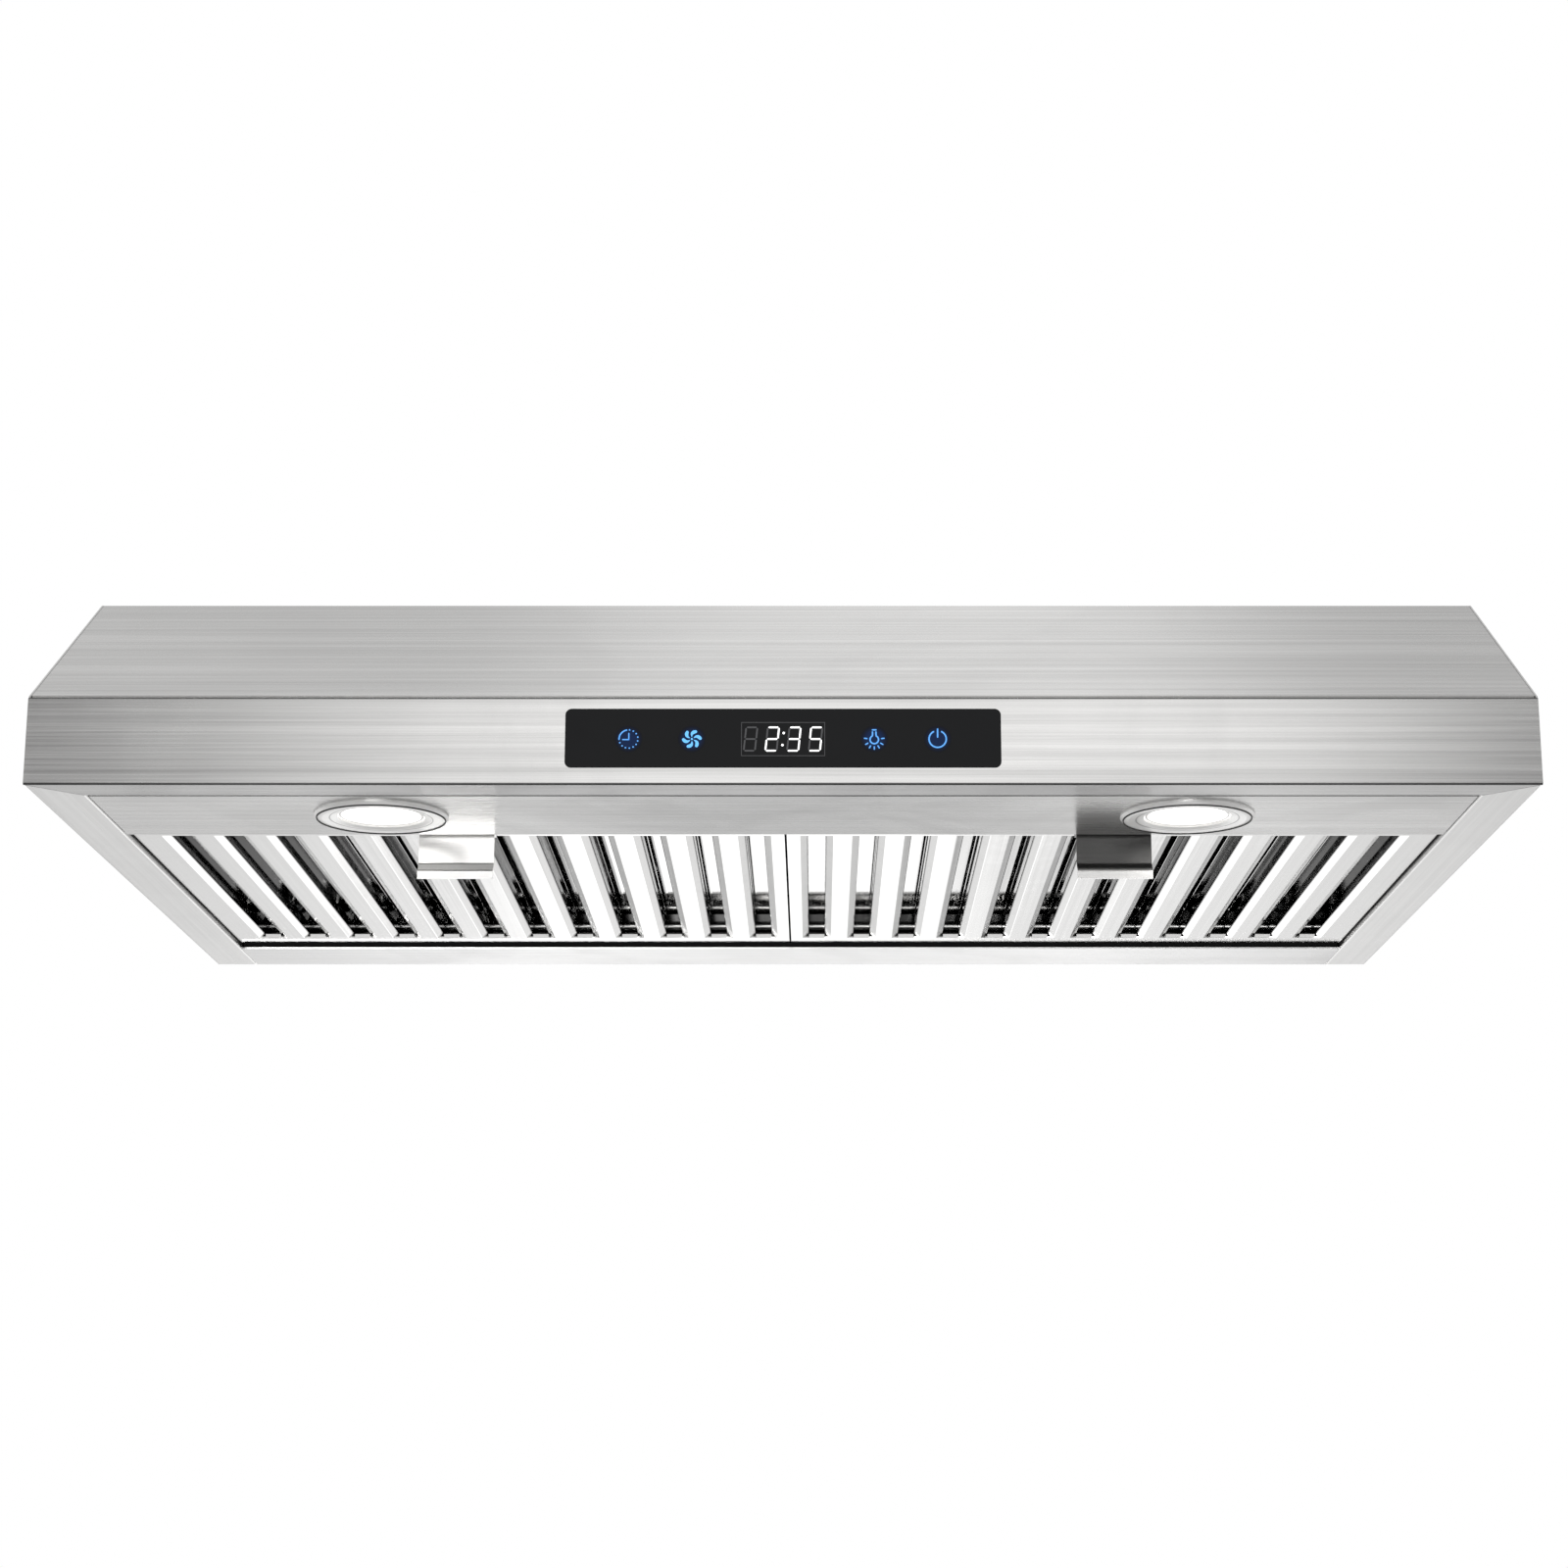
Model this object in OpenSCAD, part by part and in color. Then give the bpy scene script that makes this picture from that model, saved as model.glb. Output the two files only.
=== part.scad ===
// Under cabinet range hood: a folded sheet steel canopy with a sloped front, a touch
// glass in its fascia, two lamps, two hinged baffle filters and a flat radial blower
// that discharges upwards through a round collar with two damper flaps.
// Millimetres, +Z up, the front looks along -Y. The origin is the middle of the four
// cabinet screws, on the top face.

/* [Canopy] */
// Overall width
hood_w = 755; // [750:1:760]
// Overall depth, front face to wall face
hood_d = 500; // [498:1:510]
// Height of the canopy without collar and handles
hood_h = 135; // [132:1:140]
// Height of the upright front fascia
fascia_h = 45; // [43:1:48]
// Depth taken by the sloped front
slope_d = 137; // [130:1:145]
// Thickness of the casing sheet
sheet_t = 1; // [0.8:0.1:1.2]
// Outer radius of the folds
fold_r = 1.3; // [1.3:0.1:2]

/* [Underside] */
// Width of the front lip, front to back
lip_d = 24; // [22:1:26]
// Width of the side flanges
side_flange_w = 26; // [24:1:28]
// Width of the rear flange, front to back
rear_flange_d = 57; // [55:1:60]
// Rear edge of the light panel, behind the front face
light_panel_back = 113.3; // [112:0.1:114]
// Clearance between neighbouring underside panels
panel_gap = 0.4; // [0.3:0.1:0.6]
// Gap between the front lip and the light panel
lip_gap = 1; // [0.8:0.1:1.2]

/* [Cabinet screws] */
// Spacing of the screw holes across the width
screw_x = 660; // [640:1:670]
// Spacing of the screw holes front to back
screw_y = 230; // [220:1:235]
// Radius of a screw hole
screw_hole_r = 2.75; // [2.5:0.05:3]
// Distance from the front face to the middle of the pattern
origin_back = 325; // [320:1:330]

/* [Controls] */
// Width of the touch glass
glass_w = 217; // [210:1:220]
// Height of the touch glass
glass_h = 30; // [28:1:32]
// Height of the middle of the glass above the underside
glass_mid = 23.8; // [22:0.1:24]
// Spacing from the middle to the inner touch keys
key_inner_x = 45.5; // [44:0.5:48]
// Spacing from the middle to the outer touch keys
key_outer_x = 77; // [74:0.5:80]

/* [Lamps] */
// Distance of each lamp from the middle
lamp_x = 208.8; // [200:0.1:215]
// Distance of the lamps behind the front face
lamp_back = 67; // [66:0.5:68]
// Outer radius of the trim ring
lamp_trim_r = 34.75; // [34:0.05:35]
// Visible radius of the lens
lamp_lens_r = 22.6; // [22:0.1:23]

/* [Filters] */
// Number of slots in one filter
slot_n = 12; // [8:1:12]
// Width of a slot at its narrowest
slot_w = 10; // [9.6:0.1:10.2]
// Width of the sloped edge along each side of a slot
bevel_w = 4; // [3.6:0.1:4.2]
// Height of a filter cassette
filter_h = 16.5; // [16.5:0.5:18]
// Height of the filters above the underside
filter_lift = 3; // [2.8:0.1:3.2]
// Thickness of the filter sheet
filter_t = 0.8; // [0.7:0.1:0.9]
// Width of a pull handle
handle_w = 40; // [36:1:44]
// Drop of a pull handle below the underside
handle_drop = 24; // [20:1:26]

/* [Duct] */
// Outer radius of the duct collar
collar_r = 75; // [74:0.5:76]
// Height of the collar above the top face
collar_h = 45; // [42:1:50]
// Distance of the collar behind the origin
collar_y = 85; // [83:1:87]

/* [Blower] */
// Radius of the impeller
impeller_r = 100; // [98:1:102]
// Number of impeller blades
blade_n = 36; // [24:1:40]
// Sideways place of the impeller axis
blower_x = -197; // [-199:1:-196]
// Place of the impeller axis behind the origin
blower_y = -15; // [-17:1:-13]

/* [Hidden] */
$fn = 64;

steel = "silver";
dark_steel = "dimgray";
polished = "gainsboro";
eps = 0.5;

// Casing
half_w = hood_w / 2;
wall_gap = 0.2;
inner_x = half_w - sheet_t - wall_gap;
flange_x = half_w - side_flange_w;
rear_flange_y = hood_d - rear_flange_d;
slope_rise = (hood_h - fascia_h) / slope_d;
slope_foot = 2;
top_under = hood_h - sheet_t;
return_w = 12;
hem_h = 8;

// Underside panels
light_panel_x = flange_x - 1;
lamp_hole_r = 30;

// Filters
seam_gap = 0.6;
filter_x1 = flange_x - 1.2;
filter_w = filter_x1 - seam_gap;
filter_y0 = light_panel_back + 1.2;
filter_y1 = rear_flange_y - 6;
filter_d = filter_y1 - filter_y0;
seam_rail = 11.2;
slot_pitch = (filter_w - seam_rail - slot_w - 18.3) / (slot_n - 1);
strip_w = slot_pitch - slot_w;
bevel_rise = 2;
strip_h = 7.2;
upper_flat = 12;
upper_side = 3.7;
upper_low = 7.6;
rail_front = 14;
rail_rear = 16;
top_rail = 9;
top_rail_rear = 20;
upper_front = 3.6;
upper_back = filter_d - 16.5;
tongue_run = 2.6;
tongue_rise = 1.8;
tongue_half = slot_w / 2 - 0.2;
outer_rail = filter_w - seam_rail - slot_w - (slot_n - 1) * slot_pitch;
handle_x = seam_gap + filter_w / 2;

// Filter hinge
pivot_r = 2;
pivot_fit = 0.08;
pivot_y = filter_y1 - 7;
pivot_z = filter_lift + 9;
hook_t = 1.8;
hook_w = 8;
hook_slot_w = 12;
hook_x = [60, 290];
ledge_z = 32;
catch_x = [70, 280];
catch_w = 12;
catch_z = 10.5;

// Blower
plenum_z = 56;
blower_top = top_under - sheet_t;
scroll_max = 160;
scroll_min = 112;
scroll_steps = 42;
outlet_x = 119;
outlet_in = 45;
inlet_r = 88;
throat_r = 80;
blade_in = 84;
blade_z0 = 62;
blade_z1 = 122;
cup_r = 60;
cup_z = 79;
motor_r = 50;
motor_z = 84;
motor_split = 100;
motor_top = 129;
shaft_r = 4;
shaft_fit = 0.05;
bearing_r = 11;
bearing_h = 6;
ear_at = [30, 150, 270];
ear_r = 58;
ear_t = 2;
lead_hole_at = 320;

// Duct
duct_hole_r = collar_r - 1;
collar_flange_t = 1;
box_half = 77.8;
box_half_y = 75.3;
flap_r = collar_r - 3;
flap_z = 14;
damper_r = 2;
damper_fit = 0.08;
knuckle_r = 3.5;

// Electrics
power_box_at = [150, 190];
power_box_size = [150, 140, 36];
gland_at = [250, 455];
gland_hole_r = 10.2;

// ---------- geometry helpers ----------

function unit(v) = v / norm(v);
function left_of(v) = [-v[1], v[0]];
function reversed(list) = [for (i = [len(list) - 1:-1:0]) list[i]];

// Rounded corner b between a and c on a line of radius r, moved o to the left
function corner(a, b, c, r, o, n) =
    let (d0 = unit(b - a), d1 = unit(c - b))
    let (turn = atan2(d0[0] * d1[1] - d0[1] * d1[0], d0 * d1), s = sign(turn))
    let (centre = b - d0 * r * tan(abs(turn) / 2) + left_of(d0) * s * r)
    let (start = -s * left_of(d0), from = atan2(start[1], start[0]))
    [for (i = [0:n]) centre + (r - s * o) * [cos(from + turn * i / n), sin(from + turn * i / n)]];

// A fold line with rounded corners, moved o to the left
function fold_line(p, r, o, n) =
    let (m = len(p) - 1)
    concat([p[0] + o * left_of(unit(p[1] - p[0]))],
        [for (i = [1:m - 1]) each corner(p[i - 1], p[i], p[i + 1], r, o, n)],
        [p[m] + o * left_of(unit(p[m] - p[m - 1]))]);

// Section of a folded sheet whose outer face follows p, with the metal on its left
module fold(p, t = sheet_t, r = fold_r, n = 6) {
    polygon(concat(fold_line(p, r, 0, n), reversed(fold_line(p, r, t, n))));
}

// Moves a shape given from the front face and the underside to the mounting origin
module placed() {
    translate([0, -origin_back, -hood_h]) children();
}

// A section in Y and Z, drawn out along X
module along_x(from, to) {
    translate([from, 0, 0]) rotate([90, 0, 90]) linear_extrude(to - from) children();
}

// A section in X and Z, drawn out along Y
module along_y(from, to) {
    translate([0, to, 0]) rotate([90, 0, 0]) linear_extrude(to - from) children();
}

module both_sides() {
    children();
    mirror([1, 0, 0]) children();
}

module box(from, to) {
    translate(from) cube(to - from);
}

module rounded_rect(w, h, r) {
    translate([r - w / 2, -h / 2]) square([w - 2 * r, h]);
    translate([-w / 2, r - h / 2]) square([w, h - 2 * r]);
    for (x = [-1, 1], y = [-1, 1]) {
        translate([x * (w / 2 - r), y * (h / 2 - r)]) circle(r);
    }
}

module ring(r_in, r_out, h) {
    difference() {
        cylinder(h = h, r = r_out);
        translate([0, 0, -eps]) cylinder(h = h + 2 * eps, r = r_in);
    }
}

// Tube of radius r along the points p, eight sided
function tube_dir(p, i) = unit(p[min(i + 1, len(p) - 1)] - p[max(i - 1, 0)]);
function tube_side(d) = unit(cross(d, abs(d[2]) > 0.9 ? [1, 0, 0] : [0, 0, 1]));
function tube_ring(c, d, r) =
    let (u = tube_side(d), v = cross(d, u))
    [for (k = [0:7]) c + r * (cos(45 * k) * u + sin(45 * k) * v)];

module tube(p, r) {
    m = len(p);
    points = [for (i = [0:m - 1]) each tube_ring(p[i], tube_dir(p, i), r)];
    sides = [for (i = [0:m - 2], k = [0:7])
        [i * 8 + k, i * 8 + (k + 1) % 8, (i + 1) * 8 + (k + 1) % 8, (i + 1) * 8 + k]];
    polyhedron(points, concat(sides, [[for (k = [7:-1:0]) k]],
        [[for (k = [0:7]) (m - 1) * 8 + k]]));
}

// ---------- canopy ----------

module canopy() {
    foot = [slope_foot, fascia_h + slope_foot * slope_rise];
    color(steel) placed() difference() {
        along_x(-inner_x, inner_x) fold([[hood_d, hood_h], [slope_d, hood_h], foot]);
        translate([0, origin_back + collar_y, 0]) cylinder(h = hood_h + 1, r = duct_hole_r);
        for (x = [-1, 1], y = [-1, 1]) {
            translate([x * screw_x / 2, origin_back + y * screw_y / 2, 0])
                cylinder(h = hood_h + 1, r = screw_hole_r);
        }
        translate([gland_at[0], gland_at[1], 0]) cylinder(h = hood_h + 1, r = gland_hole_r);
    }
}

module fascia_window() {
    translate([0, -1, glass_mid]) rotate([-90, 0, 0])
        linear_extrude(4) rounded_rect(glass_w + panel_gap, glass_h + panel_gap, 3.2);
}

// Line where the front lip and a side flange meet, as a corner seen from above
module lip_mitre(shift) {
    linear_extrude(3 * hem_h, center = true) polygon([
        [half_w + 1, shift], [half_w - side_flange_w * shift / lip_d, shift],
        [flange_x, lip_d], [flange_x, lip_d + 9], [half_w + 1, lip_d + 9]]);
}

module front_fascia() {
    color(steel) placed() difference() {
        along_x(-half_w, half_w) fold([[return_w, fascia_h], [0, fascia_h], [0, 0],
            [lip_d, 0], [lip_d, hem_h]]);
        fascia_window();
        both_sides() {
            lip_mitre(sheet_t + wall_gap);
            box([inner_x, sheet_t + 0.15, 1], [half_w + 1, return_w + 1, fascia_h + 1]);
        }
    }
}

module side_panel() {
    front = sheet_t + wall_gap;
    difference() {
        along_y(front, hood_d - 1.2) fold([[flange_x, hem_h], [flange_x, 0],
            [half_w, 0], [half_w, hood_h]]);
        along_x(half_w - 6, half_w + 1) polygon([[-5, fascia_h - 5 * slope_rise],
            [slope_d, hood_h], [slope_d, hood_h + 5], [-5, hood_h + 5]]);
        linear_extrude(3 * hem_h, center = true) polygon([[flange_x - 9, -1],
            [half_w - sheet_t, -1], [half_w - sheet_t, front + panel_gap],
            [flange_x, lip_d + panel_gap], [flange_x - 9, lip_d + panel_gap]]);
    }
    box([half_w - return_w, slope_d + 4, top_under - 1.2],
        [half_w - sheet_t / 2, hood_d - 16, top_under - 0.2]);
}

module side_panel_left() {
    color(steel) placed() mirror([1, 0, 0]) side_panel();
}

module side_panel_right() {
    color(steel) placed() side_panel();
}

module back_panel() {
    color(steel) placed() difference() {
        along_x(-inner_x, inner_x) fold([[rear_flange_y, 0], [hood_d, 0],
            [hood_d, top_under - 0.2], [hood_d - 14, top_under - 0.2]]);
        both_sides() box([flange_x - 0.3, rear_flange_y - 1, -1],
            [half_w, hood_d - 1.15, hem_h + 2]);
    }
}

module light_panel() {
    color(steel) placed() difference() {
        along_x(-light_panel_x, light_panel_x) fold([[lip_d + lip_gap, 0],
            [light_panel_back, 0], [light_panel_back, 16]]);
        both_sides() {
            translate([lamp_x, lamp_back, -1]) cylinder(h = 4, r = lamp_hole_r);
            for (x = catch_x) {
                box([seam_gap + x - 7.5, light_panel_back - 3, catch_z - 3.7],
                    [seam_gap + x + 7.5, light_panel_back + 1, catch_z + 3.7]);
            }
        }
    }
}

module rear_rail() {
    wall_y = rear_flange_y + 4;
    color(dark_steel) placed() along_x(-light_panel_x, light_panel_x)
        fold([[pivot_y + 1, ledge_z], [wall_y, ledge_z], [wall_y, sheet_t + 0.1],
            [wall_y + 15, sheet_t + 0.1]]);
}

module hinge_hook() {
    r_in = pivot_r + pivot_fit;
    r_out = r_in + hook_t;
    translate([0, pivot_y, pivot_z]) along_x(-hook_w / 2, hook_w / 2) {
        difference() {
            circle(r_out);
            circle(r_in);
            translate([-r_out - 1, 0]) square(2 * r_out + 2);
        }
        translate([r_in, 0]) square([hook_t, ledge_z - pivot_z]);
        translate([r_in, ledge_z - pivot_z - hook_t]) square([10, hook_t]);
    }
}

module hinge_hooks() {
    color(dark_steel) placed() both_sides() {
        for (x = hook_x) translate([seam_gap + x, 0, 0]) hinge_hook();
    }
}

// Leaf spring behind the light panel, whose nose holds up the front of a filter
module catch_springs() {
    leg_y = light_panel_back - sheet_t - 0.05;
    nose_y = filter_y0 + 2.2;
    color(polished) placed() both_sides() {
        for (x = catch_x) translate([seam_gap + x - catch_w / 2, 0, 0]) along_x(0, catch_w)
            fold([[leg_y, 2.6], [leg_y, catch_z - 2.4], [nose_y, catch_z],
                [leg_y, catch_z + 2.4], [leg_y, 15.6]], t = 0.6, r = 0.9, n = 3);
    }
}

// ---------- controls ----------

module control_glass() {
    color("black") placed() translate([0, 0.2, glass_mid]) rotate([-90, 0, 0])
        linear_extrude(2.8) rounded_rect(glass_w, glass_h, 3);
}

module control_housing() {
    rim = 4;
    color("dimgray") placed() translate([0, 0, glass_mid]) difference() {
        box([-glass_w / 2 - rim, sheet_t + 0.05, -glass_h / 2 - rim],
            [glass_w / 2 + rim, 20, glass_h / 2 + rim]);
        box([-glass_w / 2 - 0.3, 0, -glass_h / 2 - 0.3],
            [glass_w / 2 + 0.3, 3, glass_h / 2 + 0.3]);
        box([-glass_w / 2 + 2, 2, -glass_h / 2 + 2], [glass_w / 2 - 2, 18, glass_h / 2 - 2]);
        box([-12, 17, -5], [12, 21, 5]);
    }
}

module control_board() {
    color("darkgreen") placed() translate([0, 0, glass_mid]) difference() {
        box([-104, 11, -12], [104, 12.6, 12]);
        both_sides() translate([98, 10, 8]) rotate([-90, 0, 0]) cylinder(h = 4, r = 1.6);
    }
}

module display_module() {
    color("black") placed() translate([0, 0, glass_mid])
        box([-20.9, 3.1, -8.7], [20.9, 11, 8.7]);
}

// Spring contacts between the board and the back of the glass, one for each key
module touch_springs() {
    color("gold") placed() for (x = [-key_outer_x, -key_inner_x, key_inner_x, key_outer_x]) {
        translate([x, 3.1, glass_mid]) rotate([-90, 0, 0]) {
            ring(3.6, 4.4, 7.9);
        }
    }
}

// ---------- lamps ----------

module lamp_trim() {
    color(polished) placed() translate([lamp_x, lamp_back, 0]) rotate_extrude() polygon([
        [lamp_lens_r, -0.2], [lamp_lens_r + 1.4, -0.2], [lamp_lens_r + 1.4, 3],
        [29.3, 3], [29.3, 0], [lamp_trim_r, 0], [lamp_trim_r, -0.9],
        [lamp_trim_r - 1.1, -2.1], [30.5, -2.5], [25.4, -1.9], [lamp_lens_r, -1.2]]);
}

module lamp_trim_left() {
    mirror([1, 0, 0]) lamp_trim();
}

module lamp_trim_right() {
    lamp_trim();
}

module lamp_lens() {
    color("white") placed() translate([lamp_x, lamp_back, -0.2])
        cylinder(h = 2.2, r = lamp_lens_r + 1.2);
}

module lamp_lens_left() {
    mirror([1, 0, 0]) lamp_lens();
}

module lamp_lens_right() {
    lamp_lens();
}

module lamp_body() {
    color("lightgray") placed() translate([lamp_x, lamp_back, 0]) difference() {
        union() {
            translate([0, 0, 3]) cylinder(h = 21, r = 28);
            for (a = [0:30:150]) {
                translate([0, 0, 24]) rotate(a) translate([-26, -0.8, 0]) cube([52, 1.6, 6]);
            }
        }
        translate([0, 0, 2]) cylinder(h = 18, r = 25.5);
        translate([14, 0, 19]) cylinder(h = 12, r = 3);
    }
}

module lamp_body_left() {
    mirror([1, 0, 0]) lamp_body();
}

module lamp_body_right() {
    lamp_body();
}

module led_boards() {
    color("white") placed() both_sides() translate([lamp_x, lamp_back, 18.4]) {
        difference() {
            cylinder(h = 1.6, r = 24);
            translate([14, 0, -1]) cylinder(h = 4, r = 2);
        }
        for (a = [0:60:300]) rotate(a) translate([9, -1.5, -0.8]) cube([3, 3, 1]);
    }
}

module lamp_clips() {
    color(polished) placed() both_sides() translate([lamp_x, lamp_back, 0]) {
        both_sides() translate([0, -5, 0]) rotate([90, 0, 0]) translate([0, 0, -10])
            linear_extrude(10)
            fold([[28.7, 12], [28.7, 22], [38, sheet_t + 0.05], [42, sheet_t + 0.05]],
                t = 0.6, r = 1.2, n = 4);
    }
}

// ---------- filters ----------

// Places a shape given in a filter cassette's own corner
module in_filter() {
    placed() translate([seam_gap, filter_y0, filter_lift]) children();
}

function slot_at(k) = seam_rail + slot_w / 2 + k * slot_pitch;

// Side of a slot at x, down its wall and its sloped edge to the flat face on side s
function slot_side(x, s) = [[x, strip_h], [x, bevel_rise], [x + s * bevel_w, 0]];

module filter_frame() {
    t = filter_t;
    slots_end = filter_w - outer_rail;
    color(polished) in_filter() difference() {
        union() {
            difference() {
                cube([filter_w, filter_d, filter_h]);
                box([t, t, t], [filter_w - t, filter_d - t, filter_h - t]);
                box([seam_rail - bevel_w, rail_front, -1],
                    [slots_end + bevel_w, filter_d - rail_rear, t + 1]);
                box([top_rail, top_rail, filter_h - t - 1],
                    [filter_w - top_rail, filter_d - top_rail_rear, filter_h + 1]);
            }
            along_y(rail_front, filter_d - rail_rear) {
                fold(concat([[seam_rail - bevel_w - 2, 0]], reversed(slot_side(seam_rail, -1))),
                    t = t, r = 1, n = 2);
                fold(concat(slot_side(slots_end, 1), [[slots_end + bevel_w + 2, 0]]),
                    t = t, r = 1, n = 2);
            }
            for (k = [0:slot_n - 1]) {
                translate([slot_at(k), filter_d - rail_rear, 0])
                    along_x(-tongue_half, tongue_half)
                    fold([[-tongue_run, tongue_rise], [0, 0], [2, 0]], t = t, r = 1, n = 2);
            }
        }
        for (x = hook_x) {
            box([x - hook_slot_w / 2, pivot_y - filter_y0 - 4, pivot_z - filter_lift - 4],
                [x + hook_slot_w / 2, filter_d + 1, filter_h + 1]);
        }
        for (x = catch_x) {
            box([x - 7.5, -1, catch_z - filter_lift - 2.2],
                [x + 7.5, t + 1, catch_z - filter_lift + 1.5]);
        }
        translate([-1, pivot_y - filter_y0, pivot_z - filter_lift]) rotate([0, 90, 0])
            cylinder(h = filter_w + 2, r = pivot_r + 0.05);
    }
}

module filter_frame_left() {
    mirror([1, 0, 0]) filter_frame();
}

module filter_frame_right() {
    filter_frame();
}

module lower_baffles() {
    color(polished) in_filter() for (k = [0:slot_n - 2]) {
        translate([slot_at(k) + slot_pitch / 2, 0, 0])
            along_y(rail_front, filter_d - rail_rear)
            fold(concat(slot_side(-strip_w / 2, 1), reversed(slot_side(strip_w / 2, -1))),
                t = filter_t, r = 1, n = 2);
    }
}

module lower_baffles_left() {
    mirror([1, 0, 0]) lower_baffles();
}

module lower_baffles_right() {
    lower_baffles();
}

module upper_baffles() {
    top = filter_h - filter_t;
    color(polished) in_filter() for (k = [0:slot_n - 1]) {
        translate([slot_at(k), 0, 0]) along_y(upper_front, upper_back)
            fold([[upper_flat / 2 + upper_side, upper_low], [upper_flat / 2, top],
                [-upper_flat / 2, top], [-upper_flat / 2 - upper_side, upper_low]],
                t = filter_t, r = 1.5, n = 4);
    }
}

module upper_baffles_left() {
    mirror([1, 0, 0]) upper_baffles();
}

module upper_baffles_right() {
    upper_baffles();
}

module filter_handle() {
    face_y = light_panel_back + 3.2;
    color(polished) placed() along_x(handle_x - handle_w / 2, handle_x + handle_w / 2)
        fold([[face_y + 12, filter_lift], [face_y, filter_lift], [face_y, -15],
            [face_y - 4.5, -19.5], [face_y - 4.5, -handle_drop]], t = 1, r = 1.6, n = 5);
}

module filter_handle_left() {
    mirror([1, 0, 0]) filter_handle();
}

module filter_handle_right() {
    filter_handle();
}

module pivot_rod() {
    color(polished) placed() translate([seam_gap, pivot_y, pivot_z]) rotate([0, 90, 0])
        cylinder(h = filter_w, r = pivot_r);
}

module pivot_rod_left() {
    mirror([1, 0, 0]) pivot_rod();
}

module pivot_rod_right() {
    pivot_rod();
}

// ---------- blower ----------

module at_blower() {
    placed() translate([blower_x, origin_back + blower_y, 0]) children();
}

// Spiral from the widest point, at 90 degrees, round to the cut-off tongue, moved out by o
function spiral(o) = let (turn = 270 + asin((outlet_in - o) / (scroll_min + o)))
    [for (i = [0:scroll_steps]) let (a = 90 + turn * i / scroll_steps)
    (scroll_max - (scroll_max - scroll_min) * i / scroll_steps + o) * [cos(a), sin(a)]];

// Plan of the scroll with its outlet, moved out by o
function scroll_plan(o) = concat([[outlet_x, scroll_max + o]], spiral(o),
    [[outlet_x, outlet_in - o]]);

// End sheet of the scroll, with a rim round it and cut straight at the outlet
module scroll_sheet(t) {
    linear_extrude(t) intersection() {
        polygon(scroll_plan(10));
        translate([outlet_x - 2 * scroll_max, -scroll_max])
            square([2 * scroll_max, 2 * scroll_max + 20]);
    }
}

module blower_plate() {
    color("lightgray") at_blower() translate([0, 0, blower_top]) difference() {
        scroll_sheet(sheet_t);
        cylinder(h = 3, r = 18, center = true);
    }
}

module scroll_wall() {
    color("lightgray") at_blower() difference() {
        translate([0, 0, plenum_z + 1]) linear_extrude(blower_top - plenum_z - 1)
            polygon(concat(scroll_plan(0), reversed(scroll_plan(sheet_t))));
        rotate(lead_hole_at) translate([scroll_min, 0, blower_top - 4]) rotate([0, 90, 0])
            cylinder(h = 24, r = 3.2);
    }
}

module inlet_plate() {
    mouth = inlet_r - throat_r;
    color("lightgray") at_blower() translate([0, 0, plenum_z]) {
        difference() {
            scroll_sheet(1);
            translate([0, 0, -1]) cylinder(h = 3, r = inlet_r - 0.5);
        }
        rotate_extrude() translate([inlet_r, mouth]) difference() {
            circle(mouth);
            circle(mouth - 1);
            translate([-2 * mouth, 0]) square(4 * mouth);
            translate([0, -2 * mouth]) square(4 * mouth);
        }
    }
}

module inlet_guard() {
    wire = 1.5;
    color(dark_steel) at_blower() translate([0, 0, plenum_z - wire]) {
        for (r = [20, 38, 56, 74, 92]) rotate_extrude() translate([r, 0]) circle(wire, $fn = 16);
        for (a = [0, 120, 240]) rotate([0, 90, a]) translate([0, 0, 19])
            cylinder(h = 75, r = wire - 0.2, $fn = 16);
    }
}

// Blade outline: a forward curved strip in three flats
module blade() {
    fold([[blade_in + 0.5, 0], [blade_in + 6, 3], [blade_in + 11, 3], [impeller_r - 0.5, 0]],
        t = 0.8, r = 2, n = 1);
}

module impeller() {
    color("dimgray") at_blower() {
        translate([0, 0, blade_z0]) ring(blade_in, impeller_r + 1, 2);
        translate([0, 0, blade_z0 + 2]) linear_extrude(blade_z1 - blade_z0 - 2) {
            for (a = [0:360 / blade_n:359]) rotate(a) blade();
        }
        rotate_extrude() polygon([[cup_r - 2, blade_z1 + 1], [cup_r - 2, cup_z + 2],
            [14, cup_z + 2], [14, cup_z + 3], [shaft_r + shaft_fit, cup_z + 3],
            [shaft_r + shaft_fit, cup_z - 9], [14, cup_z - 9], [14, cup_z], [cup_r, cup_z],
            [cup_r, blade_z1 - 0.5], [impeller_r, blade_z1 - 0.5], [impeller_r, blade_z1 + 1]]);
    }
}

module impeller_nut() {
    color(steel) at_blower() translate([0, 0, cup_z - 9 - 5]) difference() {
        cylinder(h = 5, r = 7.5, $fn = 6);
        translate([0, 0, -1]) cylinder(h = 7, r = shaft_r + shaft_fit);
    }
}

module motor_housing() {
    color(steel) at_blower() difference() {
        union() {
            translate([0, 0, motor_split]) cylinder(h = motor_top - motor_split, r = motor_r);
            for (a = ear_at) rotate(a) box([30, -9, motor_top - ear_t], [66, 9, motor_top]);
        }
        translate([0, 0, motor_split - 1]) cylinder(h = 20, r = motor_r - 1.5);
        translate([0, 0, motor_split])
            cylinder(h = motor_top - 2 - motor_split, r = bearing_r + 0.05);
        for (a = ear_at) rotate(a) translate([ear_r, 0, motor_split]) cylinder(h = 40, r = 4.1);
    }
}

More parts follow.
